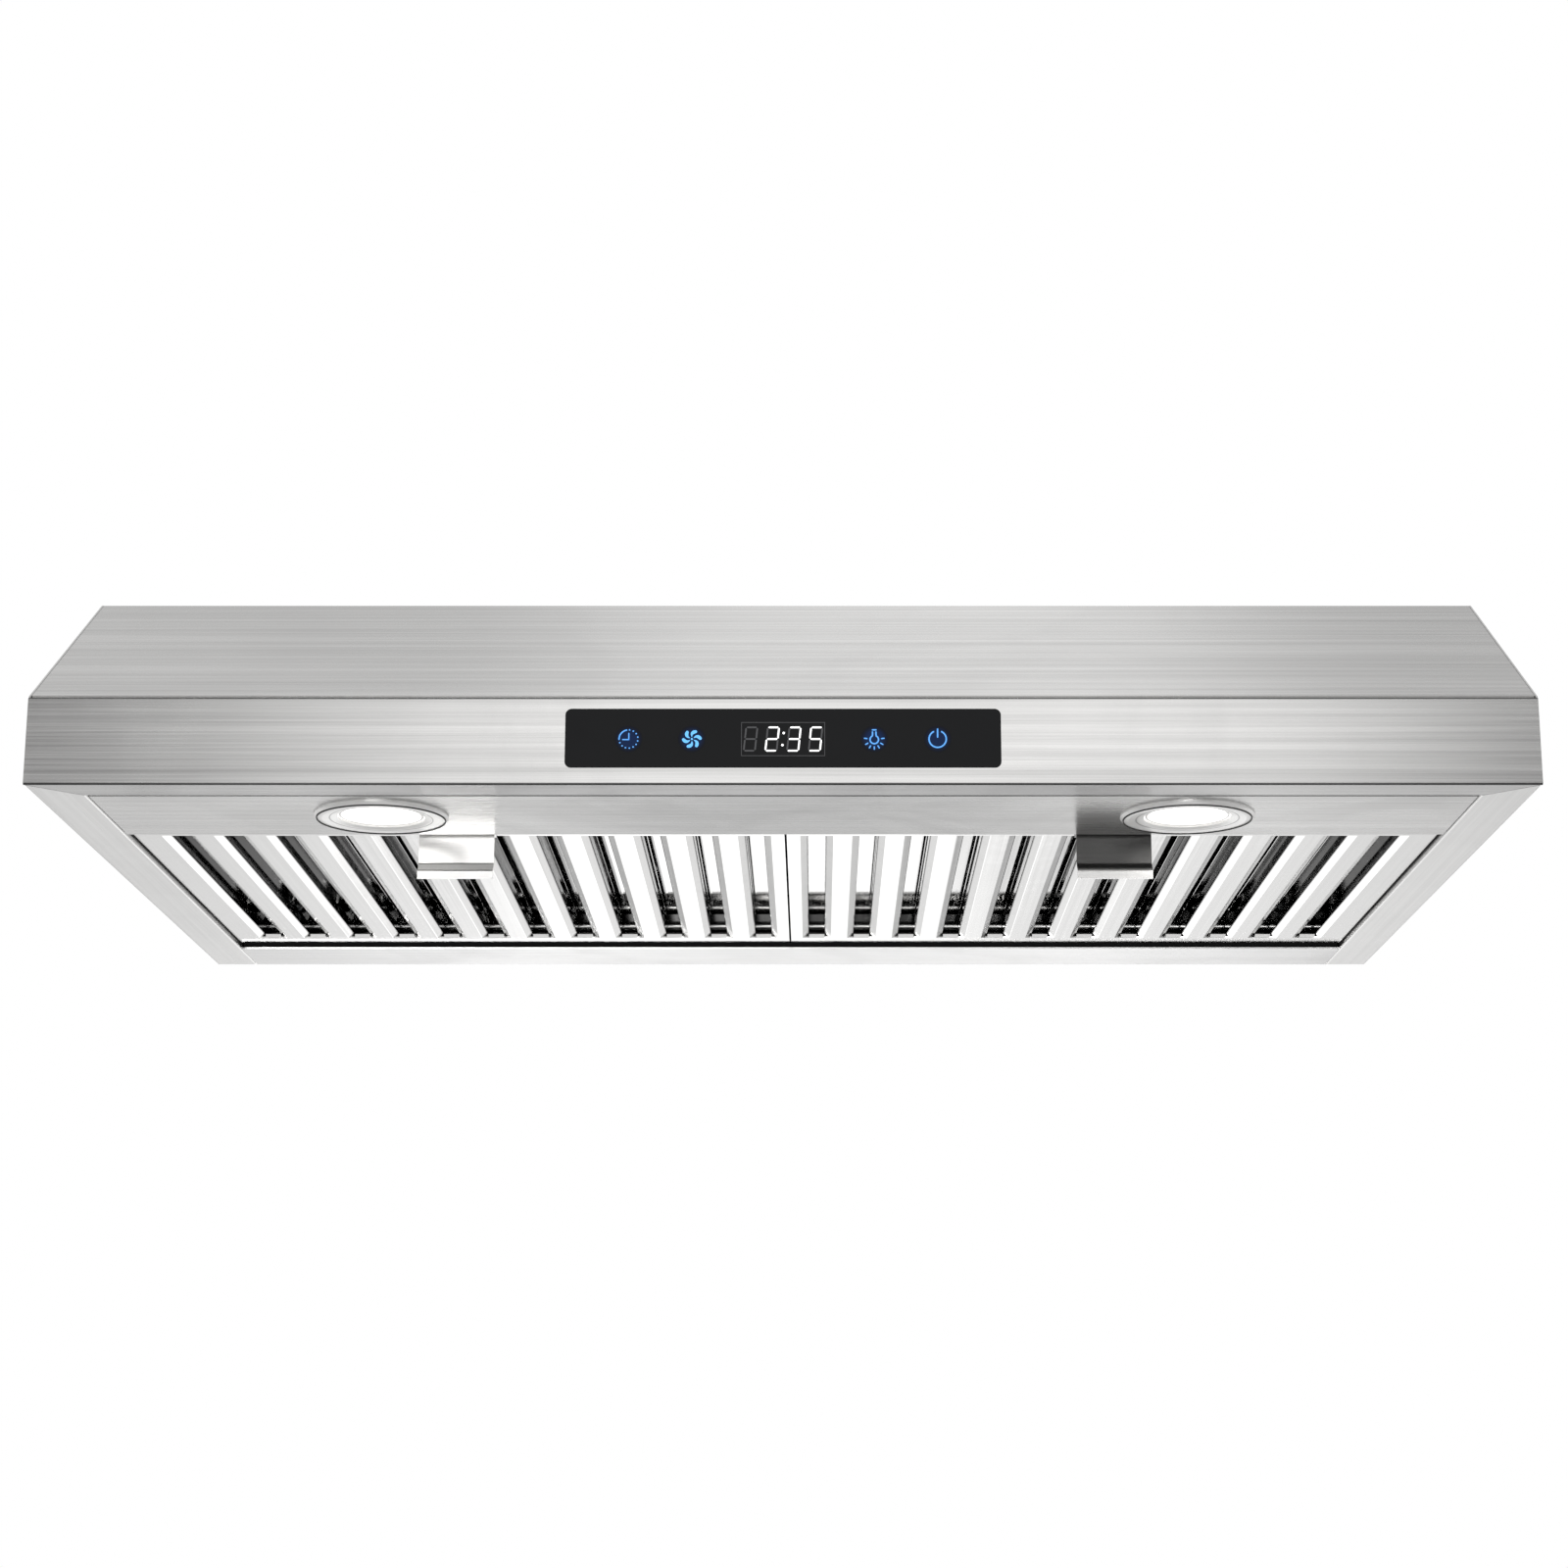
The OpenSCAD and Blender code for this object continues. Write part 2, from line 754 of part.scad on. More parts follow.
module motor_cover() {
    color(steel) at_blower() difference() {
        translate([0, 0, motor_z]) cylinder(h = motor_split - motor_z, r = motor_r);
        translate([0, 0, motor_z + 8]) cylinder(h = 20, r = motor_r - 1.5);
        translate([0, 0, motor_z + 2]) cylinder(h = 20, r = bearing_r + 0.05);
        translate([0, 0, motor_z - 1]) cylinder(h = 20, r = shaft_r + 1);
    }
}

module stator() {
    color("peru") at_blower() translate([0, 0, 94]) ring(29.5, motor_r - 1.8, 22);
}

module rotor() {
    color("gray") at_blower() translate([0, 0, 94]) ring(shaft_r + shaft_fit, 28.8, 22);
}

module motor_shaft() {
    color(steel) at_blower() translate([0, 0, cup_z - 16])
        cylinder(h = motor_top - 2 - cup_z + 16, r = shaft_r);
}

module motor_bearings() {
    color(steel) at_blower() for (z = [motor_z + 2, motor_top - 8]) {
        translate([0, 0, z]) ring(shaft_r + shaft_fit, bearing_r, bearing_h);
    }
}

module motor_bushings() {
    color("black") at_blower() for (a = ear_at) rotate(a) translate([ear_r, 0, motor_top]) {
        cylinder(h = blower_top - motor_top, r = 8);
        translate([0, 0, -ear_t]) cylinder(h = ear_t, r = 4);
        translate([0, 0, -2 * ear_t]) cylinder(h = ear_t, r = 7);
    }
}

module capacitor() {
    color("lightgray") placed() translate([180, 375, top_under - 17.2]) rotate([0, 90, 0]) {
        cylinder(h = 58, r = 17);
        for (y = [-6, 6]) translate([-1, y - 3, 58]) cube([2, 6, 9]);
    }
}

module capacitor_strap() {
    r = 17;
    color(dark_steel) placed() translate([0, 375, top_under - r - 0.2]) along_x(198, 210) {
        difference() {
            union() {
                circle(r + 1.1);
                translate([-r - 1.1, 0]) square([2 * r + 2.2, r + 0.2]);
            }
            circle(r + 0.1);
            translate([-r - 0.1, 0]) square([2 * r + 0.2, r + 2]);
        }
        for (s = [-1, 1]) translate([s * (r + 5) - 4.5, r - 0.8]) square([9, 1]);
    }
}

// ---------- duct ----------

module at_collar() {
    placed() translate([0, origin_back + collar_y, 0]) children();
}

module outlet_box() {
    color("lightgray") at_collar() difference() {
        box([-box_half, -box_half_y, plenum_z], [box_half, box_half_y, top_under]);
        box([1 - box_half, 1 - box_half_y, plenum_z + 1],
            [box_half - 1, box_half_y - 1, top_under + 1]);
        box([-box_half - 1, blower_y + outlet_in - collar_y + 1, plenum_z + 2],
            [2 - box_half, blower_y + scroll_max - collar_y - 1, blower_top - 1]);
    }
}

module duct_collar() {
    color("lightgray") at_collar() translate([0, 0, hood_h]) {
        difference() {
            translate([0, 0, collar_flange_t])
                ring(duct_hole_r, collar_r, collar_h - collar_flange_t);
            translate([-collar_r - 1, 0, flap_z]) rotate([0, 90, 0])
                cylinder(h = 2 * collar_r + 2, r = damper_r + 0.05);
        }
        difference() {
            ring(duct_hole_r, collar_r + 14, collar_flange_t);
            for (a = [45:90:315]) rotate(a) translate([collar_r + 9, 0, -1])
                cylinder(h = 4, r = 2.1);
        }
        for (a = [50, 130, 230, 310]) rotate(a)
            translate([duct_hole_r - 4, -3, flap_z - 2]) cube([4.2, 6, 1.2]);
    }
}

module collar_screws() {
    color(steel) at_collar() for (a = [45:90:315]) rotate(a)
        translate([collar_r + 9, 0, hood_h]) {
            translate([0, 0, collar_flange_t]) cylinder(h = 2.2, r = 4);
            cylinder(h = collar_flange_t, r = 2);
        }
}

module damper_pin() {
    color(steel) at_collar() translate([-collar_r, 0, hood_h + flap_z]) rotate([0, 90, 0])
        cylinder(h = 2 * collar_r, r = damper_r);
}

// Half disc flap with two knuckles on the pin, given by their places along it
module damper_flap(knuckles) {
    translate([0, 0, hood_h + flap_z]) {
        difference() {
            translate([0, 0, -0.4]) cylinder(h = 0.8, r = flap_r);
            translate([-collar_r, -collar_r, -1]) cube([2 * collar_r, collar_r + 4, 2]);
        }
        for (x = knuckles) translate([x - 12, 0, 0]) rotate([0, 90, 0])
            ring(damper_r + damper_fit, knuckle_r, 24);
        for (x = knuckles) translate([x - 12, knuckle_r - 0.5, -0.4]) cube([24, 2, 0.8]);
    }
}

module damper_flap_rear() {
    color("gray") at_collar() damper_flap([-50, 15]);
}

module damper_flap_front() {
    color("gray") at_collar() rotate(180) damper_flap([-50, 15]);
}

// ---------- electrics ----------

module at_power_box() {
    placed() translate([power_box_at[0], power_box_at[1], top_under - power_box_size[2]])
        children();
}

module power_box() {
    size = power_box_size;
    color("lightgray") at_power_box() difference() {
        cube(size);
        box([1, 1, -1], [size[0] - 1, size[1] - 1, size[2] - 1]);
        box([3, -1, 18], [40, 2, 33]);
        translate([-1, 100, 24]) rotate([0, 90, 0]) cylinder(h = 3, r = 4);
        translate([100, size[1] + 1, 22]) rotate([90, 0, 0]) cylinder(h = 3, r = 5);
    }
}

module power_box_lid() {
    size = power_box_size;
    color("gainsboro") at_power_box() box([-1, -1, -1], [size[0] + 1, size[1] + 1, 0]);
}

module power_board() {
    color("darkgreen") at_power_box() {
        box([10, 10, 12], [140, 120, 13.6]);
        box([20, 20, 13.6], [56, 50, 32]);
        box([66, 20, 13.6], [84, 32, 28]);
        box([90, 20, 13.6], [108, 32, 28]);
        box([20, 96, 13.6], [90, 108, 24]);
        for (x = [14, 136], y = [14, 116]) translate([x, y, 13.6])
            cylinder(h = power_box_size[2] - 1 - 13.6, r = 3);
    }
}

module cable_gland() {
    color("black") placed() translate([gland_at[0], gland_at[1], hood_h]) difference() {
        union() {
            translate([0, 0, -8]) cylinder(h = 18, r = gland_hole_r - 0.2);
            cylinder(h = 3, r = 14);
            translate([0, 0, -5]) cylinder(h = 4, r = 13);
            cylinder(h = 9, r = 11.5);
        }
        translate([0, 0, -9]) cylinder(h = 20, r = 4.5);
    }
}

// Lead from the power box past the outlet box and through the scroll wall to the motor
MOTOR_ROUTE = [[154, 290, 122], [140, 290, 122], [124, 294, 125], [108, 306, 128],
    [96, 318, 129], [76, 325, 129], [30, 326, 129], [-20, 326, 129], [-56, 324, 129],
    [-70, 314, 129], [-74, 296, 129], [-74, 250, 129], [-75, 232, 129], [-79, 221, 129],
    [-86, 217.5, 129], [-94, 223.5, 129], [-103.5, 231.6, 129], [-127, 251.3, 129],
    [-147, 268.1, 128.6], [-154, 274, 127.2], [-158.3, 277.5, 126.6]];

module motor_cable() {
    color("black") placed() tube(MOTOR_ROUTE, 2.5);
}

// Leads from the lamps up to the slope and under it to the power box
LAMP_ROUTE = [[222.8, 67, 20.2], [222.8, 67, 34], [222, 68, 50], [220, 70, 68],
    [216, 76, 87], [210, 90, 100], [204, 106, 110.5], [198, 120, 119.5], [193, 136, 128],
    [188, 160, 128], [185, 178, 125.5], [184, 194, 123]];
LAMP_LINK = [[-222.8, 67, 20.2], [-222.8, 67, 36], [-221, 68, 56], [-216, 74, 80],
    [-200, 90, 99], [-170, 104, 109], [-120, 112, 114.5], [-60, 116, 117], [0, 118, 118.5],
    [60, 121, 120.5], [100, 127, 124], [130, 142, 128.5], [150, 160, 127.5],
    [156, 176, 125], [157, 194, 123]];

module lamp_cables() {
    color("black") placed() {
        tube(LAMP_ROUTE, 1.8);
        tube(LAMP_LINK, 1.8);
    }
}

// Lead from the back of the control board up to the slope and under it to the power box
CONTROL_ROUTE = [[0, 12.7, 24], [0, 20, 24.5], [1, 26, 31], [4, 32, 45], [9, 38, 60],
    [16, 46, 70.5], [60, 80, 93], [110, 108, 111.5], [140, 124, 122], [158, 142, 127.5],
    [166, 160, 127.5], [169, 176, 125.5], [170, 194, 124]];

module control_cable() {
    color("black") placed() tube(CONTROL_ROUTE, 2);
}

canopy();
front_fascia();
side_panel_left();
side_panel_right();
back_panel();
light_panel();
rear_rail();
hinge_hooks();
catch_springs();
control_glass();
control_housing();
control_board();
display_module();
touch_springs();
lamp_trim_left();
lamp_trim_right();
lamp_lens_left();
lamp_lens_right();
lamp_body_left();
lamp_body_right();
led_boards();
lamp_clips();
blower_plate();
scroll_wall();
inlet_plate();
inlet_guard();
impeller();
impeller_nut();
motor_housing();
motor_cover();
stator();
rotor();
motor_shaft();
motor_bearings();
motor_bushings();
capacitor();
capacitor_strap();
outlet_box();
duct_collar();
collar_screws();
damper_pin();
damper_flap_front();
damper_flap_rear();
power_box();
power_box_lid();
power_board();
cable_gland();
motor_cable();
lamp_cables();
control_cable();
filter_frame_left();
filter_frame_right();
lower_baffles_left();
lower_baffles_right();
upper_baffles_left();
upper_baffles_right();
filter_handle_left();
filter_handle_right();
pivot_rod_left();
pivot_rod_right();
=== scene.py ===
"""Looks of the under cabinet range hood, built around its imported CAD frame.

Lengths are in metres. X runs across the hood, Y from its front to its back, and Z up.
"""

import math

import bmesh
import bpy
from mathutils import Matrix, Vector


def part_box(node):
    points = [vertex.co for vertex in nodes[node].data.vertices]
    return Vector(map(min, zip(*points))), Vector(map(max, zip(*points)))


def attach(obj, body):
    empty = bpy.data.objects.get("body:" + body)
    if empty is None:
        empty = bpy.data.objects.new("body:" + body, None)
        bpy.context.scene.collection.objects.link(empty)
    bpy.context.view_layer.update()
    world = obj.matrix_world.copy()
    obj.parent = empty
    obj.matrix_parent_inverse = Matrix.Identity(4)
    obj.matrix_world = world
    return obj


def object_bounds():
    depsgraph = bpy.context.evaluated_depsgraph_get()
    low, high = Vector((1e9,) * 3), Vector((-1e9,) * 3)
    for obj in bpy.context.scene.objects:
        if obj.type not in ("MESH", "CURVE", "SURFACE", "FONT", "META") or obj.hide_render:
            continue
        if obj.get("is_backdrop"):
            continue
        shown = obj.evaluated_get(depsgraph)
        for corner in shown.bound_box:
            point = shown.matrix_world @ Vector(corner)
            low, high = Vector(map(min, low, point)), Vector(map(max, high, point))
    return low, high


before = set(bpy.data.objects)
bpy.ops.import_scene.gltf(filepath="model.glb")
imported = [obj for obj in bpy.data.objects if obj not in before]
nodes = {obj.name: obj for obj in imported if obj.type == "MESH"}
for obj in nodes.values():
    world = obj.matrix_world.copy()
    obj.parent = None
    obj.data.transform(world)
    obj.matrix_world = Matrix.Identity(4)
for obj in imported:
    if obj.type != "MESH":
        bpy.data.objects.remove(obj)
cad_low, cad_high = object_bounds()
MM = 0.001
SIDES = ("left", "right")


# ---------- node graph helpers ----------


class Graph:
    """A node tree with short ways to add and join nodes."""

    def __init__(self, tree):
        self.tree = tree

    def add(self, kind, inputs=(), **props):
        node = self.tree.nodes.new(kind)
        for key, value in props.items():
            setattr(node, key, value)
        for key, value in dict(inputs).items():
            if isinstance(value, bpy.types.NodeSocket):
                self.tree.links.new(value, node.inputs[key])
            else:
                node.inputs[key].default_value = value
        return node

    def math(self, operation, a, b=0.0):
        return self.add("ShaderNodeMath", {0: a, 1: b}, operation=operation).outputs[0]

    def vector(self, operation, a, b=(0, 0, 0)):
        return self.add("ShaderNodeVectorMath", {0: a, 1: b}, operation=operation).outputs

    def product(self, first, *others):
        for other in others:
            first = self.math("MULTIPLY", first, other)
        return first

    def remap(self, value, lo, hi, to_lo, to_hi, smooth=False):
        node = self.add("ShaderNodeMapRange", {0: value, 1: lo, 2: hi, 3: to_lo, 4: to_hi})
        node.interpolation_type = "SMOOTHSTEP" if smooth else "LINEAR"
        return node.outputs[0]

    def spread(self, noise, to_lo, to_hi):
        """Stretches the middle of a noise, where nearly all of it lies, over these two values."""
        return self.remap(noise, 0.3, 0.7, to_lo, to_hi)

    def mix(self, factor, a, b, blend="MIX"):
        node = self.add("ShaderNodeMix", {0: factor, 6: a, 7: b}, data_type="RGBA", blend_type=blend)
        return node.outputs[2]

    def times(self, colour, level):
        return self.mix(1.0, colour, level, "MULTIPLY")

    def here(self):
        """The place on the piece, in its own frame."""
        return self.add("ShaderNodeTexCoord").outputs["Object"]

    def axes(self, vector):
        return self.add("ShaderNodeSeparateXYZ", {0: vector}).outputs

    def facing(self):
        """The surface's direction as X, Y and Z."""
        return self.axes(self.add("ShaderNodeNewGeometry").outputs["Normal"])

    def place(self, scale):
        """The place on the piece, stretched by one number or by one for each axis."""
        each = scale if isinstance(scale, tuple) else (scale, scale, scale)
        return self.add("ShaderNodeMapping", {0: self.here(), 3: each}).outputs[0]

    def noise(self, where, scale, detail=3.0, rough=0.55, warp=0.0):
        inputs = {"Vector": where, "Scale": scale, "Detail": detail, "Roughness": rough}
        return self.add("ShaderNodeTexNoise", {**inputs, "Distortion": warp}).outputs[0]

    def bump(self, height, strength, distance):
        inputs = {"Height": height, "Strength": strength, "Distance": distance}
        return self.add("ShaderNodeBump", inputs).outputs[0]


def rgb(r, g, b):
    return (r, g, b, 1.0)


def steel(level):
    """Stainless steel's own slightly warm grey, at this brightness."""
    return rgb(level, level * 0.993, level * 0.981)


def toned(tone, factor):
    """A darker or lighter copy of a colour."""
    return rgb(*(min(1.0, part * factor) for part in tone[:3]))


def new_look(name, **sockets):
    """A material with one Principled shader, and its graph."""
    mat = bpy.data.materials.new(name)
    mat.use_nodes = True
    shader = mat.node_tree.nodes["Principled BSDF"]
    for key, value in sockets.items():
        shader.inputs[key.replace("_", " ")].default_value = value
    return mat, Graph(mat.node_tree), shader


def join(graph, shader, **links):
    for key, value in links.items():
        graph.tree.links.new(value, shader.inputs[key.replace("_", " ")])


# ---------- looks ----------

# For each grain direction, the stretch of the scratches, the streaks and the cloudy patches
STRETCH = {
    "x": ((7, 1500, 1500), (1.4, 260, 260), (0.9, 3.2, 3.2)),
    "y": ((1500, 7, 1500), (260, 1.4, 260), (3.2, 0.9, 3.2)),
    "z": ((1500, 1500, 7), (260, 260, 1.4), (3.2, 3.2, 0.9)),
}
GRAIN_AXIS = {"x": (1, 0, 0), "y": (0, 1, 0), "z": (0, 0, 1)}
BRUSH_LIE = 0.6
UNDER_FROM, UNDER_TO = 140 * MM, 260 * MM
MIDDLE_FROM = 10 * MM
PART_BLUR = 1.5 * MM
BOX_BLUR = 0.3 * MM
LINE_CORE, LINE_EDGE = 0.25 * MM, 0.5 * MM
LIP_METAL = 0.1


def fold_shade(g, leaves, meets, left_over):
    """A painted shade round folds: 1 on upright faces, left_over on the slant of a fold, and 1 again on the
    face after it.

    leaves and meets are the ranges of the surface's upward part where the shade sets in and ends.
    """
    slant = g.math("ABSOLUTE", g.facing()[2])
    before = g.remap(slant, *leaves, 1.0, left_over, smooth=True)
    after = g.remap(slant, *meets, left_over, 1.0, smooth=True)
    return g.math("MAXIMUM", before, after)


def brushed(name, tone, grain, rough=0.27, streak=0.2, cloud=0.07, middle=None, under=None, folds=1.0):
    """Brushed sheet steel: fine scratches and wide streaks along the grain, and faint handling marks.

    middle is (half width, tone left at mid width) of a painted shade that darkens the middle. under is
    (tone left at mid width, tone left at the ends) of a painted shade on faces that look down. folds
    is the tone of a painted shade left round a fold between a front face and a face that looks up or down.
    """
    mat, g, s = new_look(name, Metallic=1.0, Anisotropic=BRUSH_LIE, Anisotropic_Rotation=0.25)
    fine, wide, patch = STRETCH[grain]
    scratches = g.noise(g.place(fine), 1.0, 3.0, 0.6)
    streaks = g.noise(g.place(wide), 1.0, 4.0, 0.62)
    clouds = g.noise(g.place(patch), 3.0, 3.0, 0.5, 0.6)
    level = g.math("ADD", g.remap(scratches, 0.25, 0.75, -streak, streak), g.spread(streaks, -streak, streak))
    level = g.math("ADD", level, g.spread(clouds, -cloud, cloud))
    colour = g.mix(g.remap(level, -0.35, 0.35, 0.05, 0.95), toned(tone, 0.72), toned(tone, 1.2))
    # Painted shade: darker towards mid width.
    if middle:
        half_width, left_over = middle
        across = g.math("ABSOLUTE", g.axes(g.here())[0])
        colour = g.times(colour, g.remap(across, MIDDLE_FROM, half_width, left_over, 1.0, smooth=True))
    # Painted shade on faces that look down, darker towards mid width.
    if under:
        across = g.math("ABSOLUTE", g.axes(g.here())[0])
        shade = g.remap(across, UNDER_FROM, UNDER_TO, *under, smooth=True)
        colour = g.times(colour, g.remap(g.facing()[2], -0.97, -0.6, shade, 1.0))
    # Painted shade round the folds.
    if folds < 1.0:
        colour = g.times(colour, fold_shade(g, (0.1, 0.4), (0.8, 0.98), folds))
    smudge = g.noise(g.place(9), 1.0, 5.0, 0.6, 1.2)
    matt = g.remap(scratches, 0.2, 0.8, rough - 0.05, rough + 0.06)
    matt = g.math("ADD", matt, g.remap(smudge, 0.45, 0.75, 0.0, 0.05))
    along = g.add("ShaderNodeCombineXYZ", enumerate(GRAIN_AXIS[grain])).outputs[0]
    join(g, s, Base_Color=colour, Roughness=matt, Normal=g.bump(scratches, 0.06, 0.4 * MM), Tangent=along)
    return mat


def polished(
    name,
    tone,
    rough,
    grain="y",
    wave=0.12,
    metallic=1.0,
    walls=1.0,
    part=None,
    folds=1.0,
    ring=None,
    lips=0.0,
    inside=None,
):
    """Bright rolled steel: a faint rolling grain, slight waviness and fine wipe marks.

    walls is the tone of a painted shade on faces that look sideways. part is (height, tone left above
    it) of a painted dark reflection above that height. folds is the tone of a painted shade round a fold
    between an upright face and a slanted one. ring is (centre, radius, tone left) of a fine darker line.
    lips is the pale tone of a painted highlight on faces that slant forwards, which are also less
    metallic. inside is (low corner, high corner, tone left in that box), for the painted shade of the
    unlit inside of a cassette.
    """
    mat, g, s = new_look(name, Metallic=metallic)
    lines = g.noise(g.place(STRETCH[grain][1]), 2.2, 3.0, 0.6)
    waves = g.noise(g.place(11), 1.0, 2.0, 0.4)
    marks = g.noise(g.place(42), 1.0, 6.0, 0.65, 1.4)
    colour = g.mix(g.spread(lines, 0, 1), toned(tone, 0.9), tone)
    # Painted shade on faces that look sideways.
    if walls < 1.0:
        sideways = g.math("ABSOLUTE", g.facing()[0])
        colour = g.times(colour, g.remap(sideways, 0.6, 0.9, 1.0, walls, smooth=True))
    # Painted dark reflection above this height.
    if part:
        height, left_over = part
        above = g.remap(g.axes(g.here())[2], height, height + PART_BLUR, 1.0, left_over, smooth=True)
        colour = g.times(colour, above)
    # Painted shade round the folds.
    if folds < 1.0:
        colour = g.times(colour, fold_shade(g, (0.08, 0.25), (0.35, 0.6), folds))
    # A fine darker line at this radius.
    if ring:
        centre, radius, left_over = ring
        flat = g.vector("MULTIPLY", g.vector("SUBTRACT", g.here(), centre)[0], (1, 1, 0))[0]
        off = g.math("ABSOLUTE", g.math("SUBTRACT", g.vector("LENGTH", flat)["Value"], radius))
        colour = g.times(colour, g.remap(off, LINE_CORE, LINE_EDGE, left_over, 1.0))
    # Painted highlight: a pale tone on faces that slant forwards, with less metal there.
    if lips:
        _, back, up = g.facing()
        lip = g.product(
            g.remap(back, -0.5, -0.35, 1.0, 0.0, smooth=True),
            g.remap(g.math("ABSOLUTE", up), 0.55, 0.7, 0.0, 1.0, smooth=True),
            g.remap(back, -0.9, -0.75, 0.0, 1.0, smooth=True),
        )
        colour = g.mix(lip, colour, steel(lips))
        join(g, s, Metallic=g.remap(lip, 0.0, 1.0, metallic, LIP_METAL))
    # Painted shade in the unlit inside of a cassette.
    if inside:
        low, high, left_over = inside
        where = g.axes(g.here())
        deep = 1.0
        for axis in (1, 2):
            after = g.remap(where[axis], low[axis], low[axis] + BOX_BLUR, 0.0, 1.0)
            before = g.remap(where[axis], high[axis] - BOX_BLUR, high[axis], 1.0, 0.0)
            deep = g.product(deep, g.product(after, before))
        colour = g.times(colour, g.remap(deep, 0.0, 1.0, 1.0, left_over))
    matt = g.math("ADD", g.spread(lines, rough - 0.03, rough + 0.04), g.remap(marks, 0.5, 0.8, 0.0, 0.08))
    join(g, s, Base_Color=colour, Roughness=matt, Normal=g.bump(waves, wave, 1.5 * MM))
    return mat


def galvanised(name, tone):
    """Zinc coated sheet: spangles of many greys, each with its own shine."""
    mat, g, s = new_look(name, Metallic=0.95)
    where = g.place(1)
    warp = g.noise(where, 60.0, 2.0)
    cells = g.add("ShaderNodeTexVoronoi", {"Vector": g.mix(0.04, where, warp), "Scale": 85.0}, feature="F1")
    spangle = g.add("ShaderNodeSeparateColor", {0: cells.outputs["Color"]}).outputs
    dull = g.noise(where, 7.0, 4.0)
    shade = g.math("ADD", g.product(spangle[0], 0.75), g.product(dull, 0.3))
    join(
        g,
        s,
        Base_Color=g.mix(shade, toned(tone, 0.62), toned(tone, 1.15)),
        Roughness=g.remap(spangle[1], 0, 1, 0.3, 0.52),
        Normal=g.bump(dull, 0.08, 1 * MM),
    )
    return mat


def machined(name, tone, rough=0.3, pitch=2400.0):
    """Turned or drawn metal with fine tool lines."""
    mat, g, s = new_look(name, Metallic=1.0)
    lines = g.noise(g.place((30, 30, pitch)), 1.0, 2.0)
    stain = g.noise(g.place(60), 1.0, 4.0, 0.6)
    join(
        g,
        s,
        Base_Color=g.mix(g.spread(stain, 0, 1), toned(tone, 0.78), tone),
        Roughness=g.remap(lines, 0.2, 0.8, rough - 0.07, rough + 0.1),
        Normal=g.bump(lines, 0.08, 0.2 * MM),
    )
    return mat


def moulded(name, tone, rough=0.45, grain=900.0, relief=0.12, metallic=0.0):
    """Plastic, rubber or paint: a fine moulded texture, dust and small shade changes."""
    mat, g, s = new_look(name, Metallic=metallic)
    pores = g.noise(g.place(grain), 1.0, 2.0)
    cloud = g.noise(g.place(25), 1.0, 4.0, 0.6)
    join(
        g,
        s,
        Base_Color=g.mix(g.spread(cloud, 0, 1), toned(tone, 0.75), toned(tone, 1.25)),
        Roughness=g.spread(cloud, rough - 0.06, rough + 0.08),
        Normal=g.bump(pores, relief, 0.2 * MM),
    )
    return mat


def windings(name, tone):
    """Enamelled copper wire laid in rows."""
    mat, g, s = new_look(name, Metallic=0.9)
    inputs = {"Vector": g.place(1), "Scale": 420.0, "Distortion": 1.2}
    wires = g.add("ShaderNodeTexWave", inputs, wave_type="BANDS", bands_direction="Z").outputs[1]
    join(
        g,
        s,
        Base_Color=g.mix(wires, toned(tone, 0.45), tone),
        Roughness=g.remap(wires, 0, 1, 0.5, 0.28),
        Normal=g.bump(wires, 0.5, 0.4 * MM),
    )
    return mat


def circuit(name, tone, copper):
    """Solder mask over tracks and pads."""
    mat, g, s = new_look(name)
    where = g.place(1)
    bricks = {"Vector": where, "Scale": 95.0, "Mortar Size": 0.03}
    colours = {"Color1": tone, "Color2": tone, "Mortar": copper}
    tracks = g.add("ShaderNodeTexBrick", {**bricks, **colours}).outputs
    cloud = g.noise(where, 90.0, 3.0)
    join(
        g,
        s,
        Base_Color=g.mix(g.remap(cloud, 0.4, 0.6, 0, 0.8), tone, tracks[0]),
        Roughness=g.spread(cloud, 0.28, 0.45),
        Normal=g.bump(tracks[1], 0.2, 0.2 * MM),
    )
    return mat


def touch_glass(name):
    """Back printed black glass, polished, with faint finger marks."""
    mat, g, s = new_look(name, IOR=1.22)
    marks = g.noise(g.place(38), 1.0, 6.0, 0.62, 1.1)
    tint = g.noise(g.place((6, 6, 30)), 1.0, 2.0)
    join(
        g,
        s,
        Base_Color=g.mix(tint, rgb(0.0045, 0.0048, 0.0055), rgb(0.0065, 0.0068, 0.0078)),
        Roughness=g.remap(marks, 0.45, 0.8, 0.05, 0.2),
        Normal=g.bump(tint, 0.02, 1 * MM),
    )
    return mat


def lit(name, tone, glow, strength, spread=None):
    """A lit surface. With spread, (centre, radius), it fades from its middle outwards."""
    mat, g, s = new_look(name, Emission_Color=glow, Emission_Strength=strength, Roughness=0.35)
    where = g.here()
    fine = g.noise(where, 900.0, 2.0)
    join(g, s, Base_Color=g.mix(fine, toned(tone, 0.86), tone), Normal=g.bump(fine, 0.05, 0.2 * MM))
    if spread:
        centre, radius = spread
        away = g.vector("DISTANCE", where, centre)["Value"]
        join(g, s, Emission_Strength=g.remap(away, 0.0, radius, strength, 0.0, smooth=True))
    return mat


def pair(name):
    """The left and the right node of this name."""
    return [f"{name}_{side}" for side in SIDES]


# The inside of both filters' shells, and the tone of the painted shade left there
frame_low, frame_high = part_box("filter_frame_left")
UNLIT = 0.12
CASSETTE_INSIDE = (frame_low + Vector((0, 0.3, 2.0)) * MM, frame_high - Vector((0, 0.3, 0.3)) * MM, UNLIT)
# Height above which the right handle's plate carries a painted dark reflection.
HANDLE_PLATE_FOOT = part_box("filter_handle_right")[0].z + 5 * MM
ZINC_PARTS = [
    "hinge_hooks",
    "blower_plate",
    "scroll_wall",
    "inlet_plate",
    "outlet_box",
    "duct_collar",
    "power_box",
    "power_box_lid",
    "capacitor_strap",
]
TURNED_PARTS = ["impeller_nut", "motor_shaft", "motor_bearings", "damper_pin", "collar_screws"]

